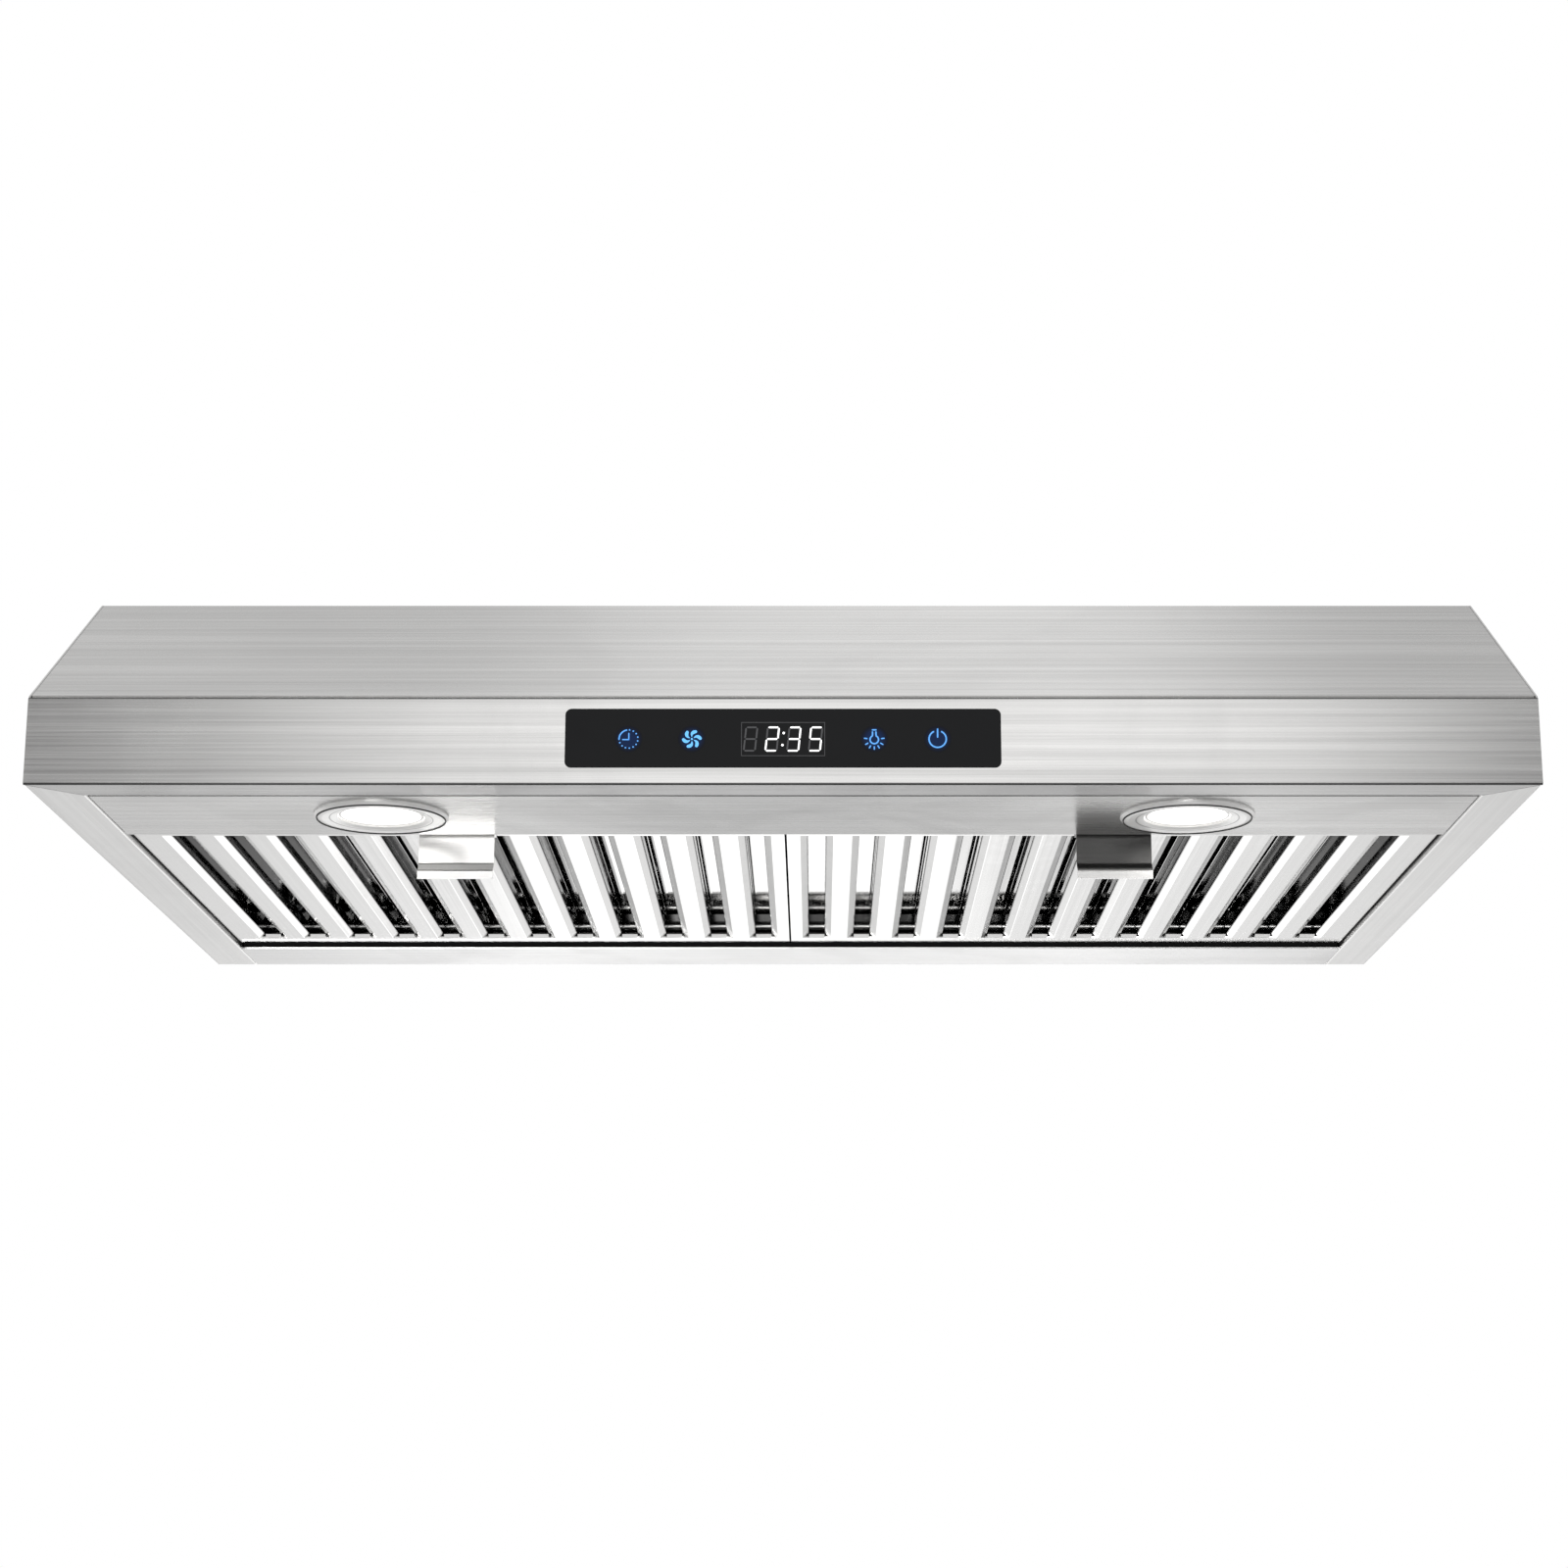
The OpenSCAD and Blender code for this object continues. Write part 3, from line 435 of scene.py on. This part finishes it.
LOOKS = [
    (brushed("canopy_steel", steel(0.6), "x"), ["canopy"]),
    # The fascia: painted shade on its lip, darker at mid width, and round its folds.
    (brushed("fascia_steel", steel(0.65), "x", rough=0.22, under=(0.23, 0.7), folds=0.18), ["front_fascia"]),
    # The light panel: painted shade at mid width.
    (brushed("panel_steel", steel(0.68), "x", middle=(330 * MM, 0.36)), ["light_panel"]),
    # The rear flange: painted shade at mid width.
    (
        brushed("rear_steel", steel(0.97), "x", rough=0.32, streak=0.1, middle=(240 * MM, 0.83)),
        ["back_panel"],
    ),
    (brushed("side_steel", steel(0.58), "y", rough=0.3, streak=0.12, cloud=0.04), pair("side_panel")),
    # The filters: painted shade on faces that look sideways and in the cassettes' insides, and a painted
    # highlight on the bevels that slant forwards.
    (
        polished("filter_steel", steel(0.58), 0.1, walls=0.2, inside=CASSETTE_INSIDE, lips=0.9),
        pair("filter_frame") + pair("lower_baffles"),
    ),
    # The upper baffles: painted shade on faces that look sideways.
    (polished("baffle_steel", steel(0.45), 0.05, walls=0.4, wave=0.03), pair("upper_baffles")),
    (polished("rod_steel", steel(0.6), 0.2, "x"), pair("pivot_rod")),
    # Both handles are one part in one steel: the left one is painted light, with a painted highlight on its
    # slanted faces and painted shade round its folds.
    (
        polished("handle_steel_left_painted_light", steel(0.97), 0.3, "x", 0.02, metallic=0.85, folds=0.1, lips=0.97),
        ["filter_handle_left"],
    ),
    # The right handle's plate carries a painted dark reflection above its foot.
    (
        polished("handle_steel_right_painted_dark", steel(0.9), 0.3, "x", metallic=0.8, part=(HANDLE_PLATE_FOOT, 0.11)),
        ["filter_handle_right"],
    ),
    (polished("spring_steel", steel(0.55), 0.22, "z"), ["catch_springs", "lamp_clips", "touch_springs"]),
    (galvanised("zinc_sheet", rgb(0.46, 0.475, 0.487)), ZINC_PARTS),
    # The rear rail is painted near black: a dark piece standing in for the shade in the gap behind the
    # filters.
    (moulded("rear_rail_painted_dark", rgb(0.012, 0.012, 0.013), 0.6, 500.0, 0.1, 0.3), ["rear_rail"]),
    (machined("wire_steel", rgb(0.4, 0.4, 0.4), 0.35), ["inlet_guard"]),
    (machined("machine_steel", rgb(0.55, 0.55, 0.54)), TURNED_PARTS),
    (machined("flap_aluminium", rgb(0.66, 0.665, 0.67), 0.38), ["damper_flap_front", "damper_flap_rear"]),
    (machined("lamp_aluminium", rgb(0.6, 0.6, 0.6), 0.45), pair("lamp_body")),
    (machined("rotor_core", rgb(0.34, 0.34, 0.35), 0.4, 9000.0), ["rotor"]),
    (touch_glass("control_glass"), ["control_glass"]),
    (moulded("display_plastic", rgb(0.014, 0.014, 0.016), 0.2), ["display_module"]),
    (moulded("housing_plastic", rgb(0.05, 0.05, 0.052), 0.55), ["control_housing"]),
    (circuit("circuit_board", rgb(0.02, 0.13, 0.06), rgb(0.35, 0.25, 0.1)), ["control_board", "power_board"]),
    (circuit("led_board", rgb(0.82, 0.82, 0.79), rgb(0.6, 0.6, 0.55)), ["led_boards"]),
    (moulded("impeller_plastic", rgb(0.07, 0.07, 0.075), 0.5), ["impeller"]),
    (moulded("motor_steel", rgb(0.3, 0.31, 0.33), 0.42, 600.0, 0.08, 0.4), ["motor_housing", "motor_cover"]),
    (windings("copper_winding", rgb(0.72, 0.33, 0.16)), ["stator"]),
    (moulded("rubber", rgb(0.025, 0.025, 0.026), 0.7, 500.0, 0.2), ["motor_bushings", "cable_gland"]),
    (moulded("capacitor_can", rgb(0.74, 0.74, 0.7), 0.4), ["capacitor"]),
    (
        moulded("cable_sheath", rgb(0.04, 0.04, 0.042), 0.45, 700.0),
        ["motor_cable", "lamp_cables", "control_cable"],
    ),
]


def dress(node, mat):
    for place in nodes[node].material_slots:
        place.material = mat


def middle_of(node):
    low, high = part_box(node)
    return (low + high) / 2


def radius_of(node):
    low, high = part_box(node)
    return (high.x - low.x) / 2


for mat, wearers in LOOKS:
    for node in wearers:
        dress(node, mat)

TRIM_LINE = 8.2 * MM
LENS_WHITE, LAMP_WHITE = rgb(0.95, 0.95, 0.93), rgb(1.0, 0.985, 0.955)
LENS_GLOW = 4.0
LENS_FADE = 1.4
for side in SIDES:
    trim, lens = f"lamp_trim_{side}", f"lamp_lens_{side}"
    # A fine darker line on each trim at this radius.
    darker_ring = (tuple(middle_of(trim)), radius_of(trim) - TRIM_LINE, 0.5)
    dress(trim, polished(f"trim_{side}", steel(0.8), 0.34, "x", 0.04, metallic=0.45, ring=darker_ring))
    fade = (tuple(middle_of(lens)), radius_of(lens) * LENS_FADE)
    dress(lens, lit(f"lens_{side}", LENS_WHITE, LAMP_WHITE, LENS_GLOW, fade))


# ---------- geometry helpers ----------


def new_piece(mesh_edit, name):
    """Puts a bmesh into the scene as a named object."""
    mesh = bpy.data.meshes.new(name)
    mesh_edit.to_mesh(mesh)
    mesh_edit.free()
    piece = bpy.data.objects.new(name, mesh)
    bpy.context.scene.collection.objects.link(piece)
    return piece


def keep(mesh_edit, name, body, mat, smooth=False):
    """Makes a named piece from a bmesh and fixes it to a CAD body."""
    bmesh.ops.recalc_face_normals(mesh_edit, faces=mesh_edit.faces)
    piece = new_piece(mesh_edit, name)
    piece.data.materials.append(mat)
    for face in piece.data.polygons:
        face.use_smooth = smooth
    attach(piece, body)
    return piece


def plate(edit, outline, depth):
    """Adds a thin plate with this outline of (x, z) points, its front at y 0 and its back at depth."""
    front = [edit.verts.new((x, 0.0, z)) for x, z in outline]
    back = [edit.verts.new((x, depth, z)) for x, z in outline]
    edit.faces.new(front)
    edit.faces.new(reversed(back))
    for i in range(len(outline)):
        j = (i + 1) % len(outline)
        edit.faces.new((front[i], front[j], back[j], back[i]))


def polar(r, degrees):
    return (r * math.cos(math.radians(degrees)), r * math.sin(math.radians(degrees)))


def dot(x, z, r, n=20):
    return [(x + r * math.cos(math.tau * i / n), z + r * math.sin(math.tau * i / n)) for i in range(n)]


def stroke(path, widths):
    """Outline of a line through path, with a width at each point and round ends."""
    left, right = [], []
    for i, (x, z) in enumerate(path):
        ax, az = path[max(i - 1, 0)]
        bx, bz = path[min(i + 1, len(path) - 1)]
        d = Vector((bx - ax, bz - az)).normalized()
        w = widths[i] / 2
        left.append((x - d.y * w, z + d.x * w))
        right.append((x + d.y * w, z - d.x * w))

    def cap(index, inner):
        (x, z), (ix, iz) = path[index], path[inner]
        heading = math.degrees(math.atan2(z - iz, x - ix))
        around = [polar(widths[index] / 2, heading + a) for a in (60, 30, 0, -30, -60)]
        return [(x + dx, z + dz) for dx, dz in around]

    return left + cap(-1, -2) + right[::-1] + cap(0, 1)


def line(path, width):
    """Outline of a line of one width."""
    return stroke(path, [width] * len(path))


def arc(r, start, end, n=24):
    return [polar(r, start + (end - start) * i / n) for i in range(n + 1)]


def in_mm(outline):
    return [(x * MM, z * MM) for x, z in outline]


# ---------- touch keys and clock ----------

glass_low, glass_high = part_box("control_glass")
glass_mid = (glass_low + glass_high) / 2
KEY_LINE = glass_mid.z - 0.4 * MM
INK_LIFT, INK_DEPTH = 0.12 * MM, 0.1 * MM
FILM_DEPTH = 0.05 * MM
# Places along the glass, as parts of its width from the middle
KEY_PLACES = {"timer": -0.355, "fan": -0.2095, "light": 0.2095, "power": 0.355}

key_blue = lit("key_blue", rgb(0.05, 0.2, 0.5), rgb(0.1, 0.36, 0.82), 0.85)
key_cyan = lit("key_cyan", rgb(0.05, 0.25, 0.5), rgb(0.14, 0.46, 0.88), 0.95)
digit_on = lit("digit_on", rgb(0.8, 0.8, 0.8), rgb(1.0, 1.0, 1.0), 1.15)
digit_off = lit("digit_off", rgb(0.04, 0.04, 0.042), rgb(0.05, 0.05, 0.055), 0.6)


def on_glass(edit, name, mat, x, lift):
    """Fixes a thin print to the casing, its front this far before the glass."""
    piece = keep(edit, name, "casing", mat)
    piece.location = Vector((x, glass_low.y - lift, KEY_LINE))


def ink(name, outlines, mat, x):
    edit = bmesh.new()
    for outline in outlines:
        plate(edit, in_mm(outline), INK_DEPTH)
    on_glass(edit, name, mat, x, INK_LIFT)


# The key shapes are drawn in millimetres round the key's middle.


def timer_key():
    """A ring, part line and part dots, round two clock hands."""
    radius = 4.7
    dots = [dot(*polar(radius, a), 0.4, 12) for a in range(204, 450, 24)]
    long_hand = line([(0.15, 2.9), (0.15, 0.6), (0.15, -0.3)], 0.6)
    short_hand = line([(-2.9, -0.3), (-1.5, -0.3), (0.15, -0.3)], 0.6)
    return [line(arc(radius, 102, 182), 0.7), *dots, long_hand, short_hand]


def fan_key():
    """Six curved blades that widen outwards, round a hub."""
    blades = []
    for turn in range(0, 360, 60):
        path = []
        for i in range(9):
            t = i / 8
            path.append(polar(1.3 + 2.9 * t, turn + 92 - 42 * t * t + 14 * t))
        blades.append(stroke(path, [0.4, 0.6, 0.85, 1.1, 1.35, 1.55, 1.7, 1.7, 1.5]))
    return [*blades, dot(0, 0, 0.55)]


def light_key():
    """A hanging bulb with its cap and rays."""
    drop = 0.3
    globe = [(x, z - drop) for x, z in arc(2.1, 118, 422)]
    bulb = [(-0.85, 3.6), (-0.85, 2.5), *globe, (0.85, 2.5), (0.85, 3.6)]
    rays = []
    for a in (-150, -120, -90, -60, -30, 8, 172):
        ray = [polar(r, a) for r in (3.7, 4.3, 4.9)]
        rays.append(line([(x, z - drop) for x, z in ray], 0.65))
    return [line(bulb, 0.75), line([(-0.9, 4.7), (0, 4.7), (0.9, 4.7)], 0.7), *rays]


def power_key():
    """An open ring and a bar."""
    return [line(arc(4.3, 118, 422), 0.75), line([(0, 1.0), (0, 3), (0, 5.1)], 0.75)]


HALO_R, HALO_CORE = 6.8, 3.2


def halo(name, x):
    """The faint blue light that leaks round a key."""
    mat, g, s = new_look(
        f"{name}_glow",
        Base_Color=rgb(0.004, 0.005, 0.01),
        Roughness=0.1,
        IOR=1.2,
        Emission_Color=rgb(0.0, 0.018, 0.085),
    )
    here = g.here()
    away = g.vector("LENGTH", here)["Value"]
    fade = g.remap(away, HALO_CORE * MM, HALO_R * MM, 0.7, 0.0, smooth=True)
    patches = g.remap(g.noise(here, 700.0, 2.0), 0.2, 0.8, 0.85, 1.1)
    join(g, s, Emission_Strength=g.product(fade, patches))
    edit = bmesh.new()
    plate(edit, in_mm(dot(0, 0, HALO_R, 48)), FILM_DEPTH)
    on_glass(edit, f"{name}_halo", mat, x, FILM_DEPTH)


for key, shape, mat in (
    ("timer", timer_key(), key_blue),
    ("fan", fan_key(), key_cyan),
    ("light", light_key(), key_blue),
    ("power", power_key(), key_blue),
):
    x = glass_mid.x + KEY_PLACES[key] * (glass_high.x - glass_low.x)
    halo(key, x)
    ink(f"{key}_key", shape, mat, x)

# A digit's size, the width of its bars, the gap at their ends and its slant, in millimetres
DIGIT_W, DIGIT_H, BAR, BAR_GAP, SLANT = 5.6, 12.0, 0.84, 0.22, 0.1
SEGMENTS = {
    "a": ((-1, 1), (1, 1)),
    "b": ((1, 1), (1, 0)),
    "c": ((1, 0), (1, -1)),
    "d": ((-1, -1), (1, -1)),
    "e": ((-1, 0), (-1, -1)),
    "f": ((-1, 1), (-1, 0)),
    "g": ((-1, 0), (1, 0)),
}
SHOWN = {2: "abged", 3: "abgcd", 5: "afgcd"}


def segment(p, q):
    """A six sided bar between two corners of a digit."""
    a = Vector((p[0] * DIGIT_W / 2, p[1] * DIGIT_H / 2))
    b = Vector((q[0] * DIGIT_W / 2, q[1] * DIGIT_H / 2))
    d = (b - a).normalized()
    n = Vector((-d.y, d.x)) * BAR / 2
    a += d * BAR_GAP
    b -= d * BAR_GAP
    point = d * BAR / 2
    corners = [a, a + point + n, b - point + n, b, b - point - n, a + point - n]
    return [(v.x + SLANT * v.y, v.y) for v in corners]


def digit(name, x, value):
    """The lit and the unlit bars of one place of the clock. No value leaves it unlit."""
    on = SHOWN.get(value, "")
    lit_bars = [segment(*SEGMENTS[k]) for k in on]
    dark_bars = [segment(*SEGMENTS[k]) for k in SEGMENTS if k not in on]
    if lit_bars:
        ink(f"{name}_on", lit_bars, digit_on, x)
    if dark_bars:
        ink(f"{name}_off", dark_bars, digit_off, x)


DIGIT_STEP = 10.8 * MM
COLON_R, COLON_RISE = 0.62, 3.1
for steps, place, value in (
    (-1.5, "hour_ten", None),
    (-0.5, "hour", 2),
    (0.5, "minute_ten", 3),
    (1.5, "minute", 5),
):
    digit(f"digit_{place}", glass_mid.x + steps * DIGIT_STEP, value)
colon = [dot(SLANT * z, z, COLON_R, 16) for z in (-COLON_RISE, COLON_RISE)]
ink("clock_colon", colon, digit_on, glass_mid.x)


def clock_frame():
    """Faint edge of the display window behind the glass."""
    low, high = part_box("display_module")
    w, h, t = (high.x - low.x) / 2, (high.z - low.z) / 2, 0.3 * MM
    bars = ((-w, -h, w, t - h), (-w, h - t, w, h), (-w, t - h, t - w, h - t), (w - t, t - h, w, h - t))
    edit = bmesh.new()
    for x0, z0, x1, z1 in bars:
        plate(edit, [(x0, z0), (x1, z0), (x1, z1), (x0, z1)], FILM_DEPTH)
    on_glass(edit, "clock_frame", digit_off, glass_mid.x, FILM_DEPTH)


clock_frame()


# ---------- lamps ----------

# The black ring under each trim's rim is painted shade: a dark piece standing in for the shadow gap round the
# trim.
rim_shadow_black = moulded("rim_shadow_black", rgb(0.02, 0.02, 0.02), 0.6)
ring_steel = polished("lens_ring", steel(0.85), 0.4, "x", metallic=0.5)
# Profiles of (distance in from the rim, height), in millimetres
RIM_SHADOW = ((1.9, -1.9), (1.9, -2.75), (1.4, -2.75), (1.2, -1.9))
LENS_RING = ((3.2, 0.05), (3.2, -0.25), (2.6, -0.4), (2.0, -0.25), (2.0, 0.05))


def turned_ring(name, mat, centre, rim, profile, n=96):
    """A closed ring round a vertical axis, with this profile inside the radius rim."""
    edit = bmesh.new()
    rings = []
    for i in range(n):
        c, s = math.cos(math.tau * i / n), math.sin(math.tau * i / n)
        row = []
        for inset, z in profile:
            r = rim - inset * MM
            row.append(edit.verts.new((centre.x + r * c, centre.y + r * s, centre.z + z * MM)))
        rings.append(row)
    for i in range(n):
        j = (i + 1) % n
        for k in range(len(profile)):
            m = (k + 1) % len(profile)
            edit.faces.new((rings[i][k], rings[j][k], rings[j][m], rings[i][m]))
    keep(edit, name, "casing", mat)


panel_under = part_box("light_panel")[0].z
for side in SIDES:
    trim, lens = f"lamp_trim_{side}", f"lamp_lens_{side}"
    centre = middle_of(trim)
    centre.z = panel_under
    # Painted shade ring under the trim's rim.
    turned_ring(f"lamp_rim_shadow_{side}", rim_shadow_black, centre, radius_of(trim), RIM_SHADOW)
    centre.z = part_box(lens)[0].z
    turned_ring(f"lens_ring_{side}", ring_steel, centre, radius_of(lens), LENS_RING)


# ---------- rivets ----------

rivet_steel = polished("rivet_steel", steel(0.85), 0.14, "x")


def dome(edit, centre, axis, radius, height, n=14, rows=4):
    """A rivet head: a low dome on centre, standing out along axis."""
    axis = Vector(axis).normalized()
    side_a = axis.orthogonal().normalized()
    side_b = axis.cross(side_a)
    rings = []
    for row in range(rows):
        t = math.pi / 2 * row / rows
        r, h = radius * math.cos(t), height * math.sin(t)
        ring = []
        for i in range(n):
            a = math.tau * i / n
            point = centre + axis * h + side_a * r * math.cos(a) + side_b * r * math.sin(a)
            ring.append(edit.verts.new(point))
        rings.append(ring)
    top = edit.verts.new(centre + axis * height)
    for row in range(rows - 1):
        for i in range(n):
            j = (i + 1) % n
            edit.faces.new((rings[row][i], rings[row][j], rings[row + 1][j], rings[row + 1][i]))
    for i in range(n):
        edit.faces.new((rings[-1][i], rings[-1][(i + 1) % n], top))
    edit.faces.new(reversed(rings[0]))


SLOTS = 12
SLOT_W = 10 * MM
STRIP_W = 18.2 * MM
# Each rivet's radius and height, and how far it is from the middle or the edge of what it joins
SLOT_RIVET_R, SLOT_RIVET_H, SLOT_RIVET_OFF = 1.3 * MM, 1.1 * MM, 3.4 * MM
SLOT_RIVET_IN, SLOT_RIVET_UP = 0.82 * MM, 4.6 * MM
HANDLE_RIVET_R, HANDLE_RIVET_H = 2.2 * MM, 0.9 * MM
HANDLE_RIVET_END, HANDLE_RIVET_BACK, HANDLE_RIVET_DOWN = 8 * MM, 5 * MM, 1.0 * MM
for side, sign in (("left", -1), ("right", 1)):
    low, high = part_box(f"filter_frame_{side}")
    first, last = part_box(f"lower_baffles_{side}")
    pitch = (last.x - first.x - STRIP_W) / (SLOTS - 2)
    inner = first.x if sign > 0 else -last.x
    edit = bmesh.new()
    for k in range(SLOTS):
        x = sign * (inner - SLOT_W / 2 + k * pitch)
        for shift in (-SLOT_RIVET_OFF, SLOT_RIVET_OFF):
            at = Vector((x + shift, high.y - SLOT_RIVET_IN, low.z + SLOT_RIVET_UP))
            dome(edit, at, (0, -1, 0), SLOT_RIVET_R, SLOT_RIVET_H)
    keep(edit, f"filter_rivets_{side}", f"filter_{side}", rivet_steel, smooth=True)

    low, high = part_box(f"filter_handle_{side}")
    edit = bmesh.new()
    for x in (low.x + HANDLE_RIVET_END, high.x - HANDLE_RIVET_END):
        at = Vector((x, high.y - HANDLE_RIVET_BACK, high.z - HANDLE_RIVET_DOWN))
        dome(edit, at, (0, 0, -1), HANDLE_RIVET_R, HANDLE_RIVET_H, 20)
    keep(edit, f"handle_rivets_{side}", f"filter_{side}", rivet_steel, smooth=True)


# ---------- floor, light and camera ----------

FLOOR_Z, FLOOR_R = -2.15, 4.5
FLOOR_PALE, FLOOR_MIRRORED = rgb(0.8, 0.8, 0.795), rgb(0.25, 0.25, 0.25)


def floor(sides=96):
    """A pale disc that fades out towards its rim, and is darker where steel mirrors it."""
    edit = bmesh.new()
    hub = edit.verts.new((0, 0, FLOOR_Z))
    rim = [edit.verts.new((*point, FLOOR_Z)) for point in dot(0, 0, FLOOR_R, sides)]
    for i in range(sides):
        edit.faces.new((hub, rim[i], rim[(i + 1) % sides]))
    piece = new_piece(edit, "studio_floor")
    mat, g, s = new_look("studio_floor", Roughness=0.8)
    away = g.vector("LENGTH", g.vector("MULTIPLY", g.here(), (1, 1, 0))[0])["Value"]
    mirrored = g.add("ShaderNodeLightPath").outputs["Is Glossy Ray"]
    join(
        g,
        s,
        Base_Color=g.mix(mirrored, FLOOR_PALE, FLOOR_MIRRORED),
        Alpha=g.remap(away, FLOOR_R * 0.45, FLOOR_R * 0.98, 1.0, 0.0, smooth=True),
    )
    piece.data.materials.append(mat)
    piece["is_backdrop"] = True


floor()

hood_mid = (cad_low + cad_high) / 2
SOFTBOX = (1.6, 1.2)
LAMP_POWER, LAMP_SPREAD, LAMP_BLEND, LAMP_R = 1.2, 120, 0.6, 0.02
LAMP_DROP = Vector((0, 0, -6 * MM))


def new_light(name, kind, power, place):
    data = bpy.data.lights.new(name, kind)
    data.energy = power
    light = bpy.data.objects.new(name, data)
    light.location = place
    bpy.context.scene.collection.objects.link(light)
    return light


for name, place, power in (("soft_low", (0.0, -1.6, -1.6), 7), ("soft_back", (1.9, 2.0, 0.5), 14)):
    light = new_light(name, "AREA", power, place)
    light.data.shape = "RECTANGLE"
    light.data.size, light.data.size_y = SOFTBOX
    light.rotation_euler = (hood_mid - Vector(place)).to_track_quat("-Z", "Y").to_euler()

for side in SIDES:
    light = new_light(f"lamp_{side}", "SPOT", LAMP_POWER, middle_of(f"lamp_lens_{side}") + LAMP_DROP)
    light.data.spot_size = math.radians(LAMP_SPREAD)
    light.data.spot_blend = LAMP_BLEND
    light.data.shadow_soft_size = LAMP_R

# The studio's brightness by direction. Each ramp is (start, end, level before, level after) over
# one part of the direction: x across, y back and z up, or how far it is from the middle.
FRONT_LEFT, FRONT_RIGHT = (-0.27, -0.09, 0.27, 1.36), (0.13, 0.28, 1.0, 0.06)
CARD_LEFT, CARD_RIGHT = (-0.3, -0.22, 0.0, 1.0), (-0.05, 0.01, 1.0, 0.0)
CARD_BOTTOM, CARD_TOP = (-0.42, -0.36, 0.0, 1.0), (-0.15, -0.11, 1.0, 0.0)
CARD_LEVEL = 8.5
BACK_SWEEP, BACK_TOP = (0.1, 0.24, 1.12, 0.96), (-0.15, -0.09, 1.0, 0.55)
LOW_WINDOW_MID = -0.028
LOW_WINDOW_EDGE, LOW_WINDOW_TOP = (0.05, 0.095, 1.0, 0.0), (-0.2, -0.17, 1.0, 0.0)
DEEP_WINDOW_EDGE, DEEP_WINDOW_TOP = (0.1, 0.18, 1.0, 0.0), (-0.27, -0.235, 1.0, 0.0)
WINDOW_LEVEL = 0.8
FRONT_TO_BACK = (-0.25, 0.25, 0, 1)
CEILING_LEFT, CEILING_RIGHT = (-0.12, -0.03, 0.8, 1.14), (0.09, 0.18, 1.0, 0.6)
UPWARDS = (0.35, 0.7, 0, 1)
SIDEWAYS, SIDE_LEVEL = (0.42, 0.62, 0, 1), 0.95
DOWNWARDS, GROUND_LEVEL = (-0.7, -0.4, 1, 0), 0.3
SEEN_LEVEL = 1.0


def studio():
    """Soft studio surroundings: bright in front, even above, and a pale sweep behind."""
    world = bpy.data.worlds.new("studio")
    bpy.context.scene.world = world
    world.use_nodes = True
    g = Graph(world.node_tree)
    x, y, z = g.axes(g.add("ShaderNodeTexCoord").outputs["Generated"])
    wide = g.math("ABSOLUTE", x)

    def ramp(value, steps):
        return g.remap(value, *steps, smooth=True)

    def blend(factor, a, b):
        return g.add("ShaderNodeMix", {0: factor, 2: a, 3: b}).outputs[0]

    ray = g.add("ShaderNodeLightPath").outputs
    # A card that only lights what steel mirrors in steel, such as a handle under the panel
    twice = g.math("GREATER_THAN", ray["Glossy Depth"], 1.5)
    card = g.product(ramp(x, CARD_LEFT), ramp(x, CARD_RIGHT), ramp(z, CARD_BOTTOM), ramp(z, CARD_TOP))
    front = g.product(ramp(x, FRONT_LEFT), ramp(x, FRONT_RIGHT))
    front = g.math("ADD", front, g.product(card, twice, CARD_LEVEL))

    low_off = g.math("ABSOLUTE", g.math("SUBTRACT", x, LOW_WINDOW_MID))
    low_window = g.product(ramp(low_off, LOW_WINDOW_EDGE), ramp(z, LOW_WINDOW_TOP))
    deep_window = g.product(ramp(wide, DEEP_WINDOW_EDGE), ramp(z, DEEP_WINDOW_TOP))
    windows = g.product(g.math("MAXIMUM", low_window, deep_window), WINDOW_LEVEL)
    back = g.product(g.math("ADD", ramp(wide, BACK_SWEEP), windows), ramp(z, BACK_TOP))

    level = blend(ramp(y, FRONT_TO_BACK), front, back)
    ceiling = g.product(ramp(x, CEILING_LEFT), ramp(x, CEILING_RIGHT))
    level = blend(ramp(z, UPWARDS), level, ceiling)
    level = blend(ramp(wide, SIDEWAYS), level, SIDE_LEVEL)
    level = blend(ramp(z, DOWNWARDS), level, GROUND_LEVEL)
    level = blend(ray["Is Camera Ray"], level, SEEN_LEVEL)
    sky = world.node_tree.nodes["Background"]
    sky.inputs["Color"].default_value = rgb(1.0, 1.0, 1.0)
    world.node_tree.links.new(level, sky.inputs["Strength"])


studio()

# The camera looks up at the hood from before and below its fascia, level lines staying level.
CAMERA_RIGHT, CAMERA_BEFORE, CAMERA_BELOW = 16.8 * MM, 1.446, 0.353
CAMERA_TILT = 13.73
FOCAL_LENGTH, SENSOR_WIDTH, SHIFT_X = 68.83, 36.0, -0.0209
fascia_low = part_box("front_fascia")[0]
data = bpy.data.cameras.new("camera")
data.sensor_width = SENSOR_WIDTH
data.lens = FOCAL_LENGTH
data.shift_x = SHIFT_X
data.clip_end = 100.0
camera = bpy.data.objects.new("camera", data)
camera.location = (hood_mid.x + CAMERA_RIGHT, fascia_low.y - CAMERA_BEFORE, fascia_low.z - CAMERA_BELOW)
camera.rotation_euler = (math.radians(90 + CAMERA_TILT), 0, 0)
bpy.context.scene.collection.objects.link(camera)
bpy.context.scene.camera = camera
bpy.context.scene.view_settings.view_transform = "Standard"

low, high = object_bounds()
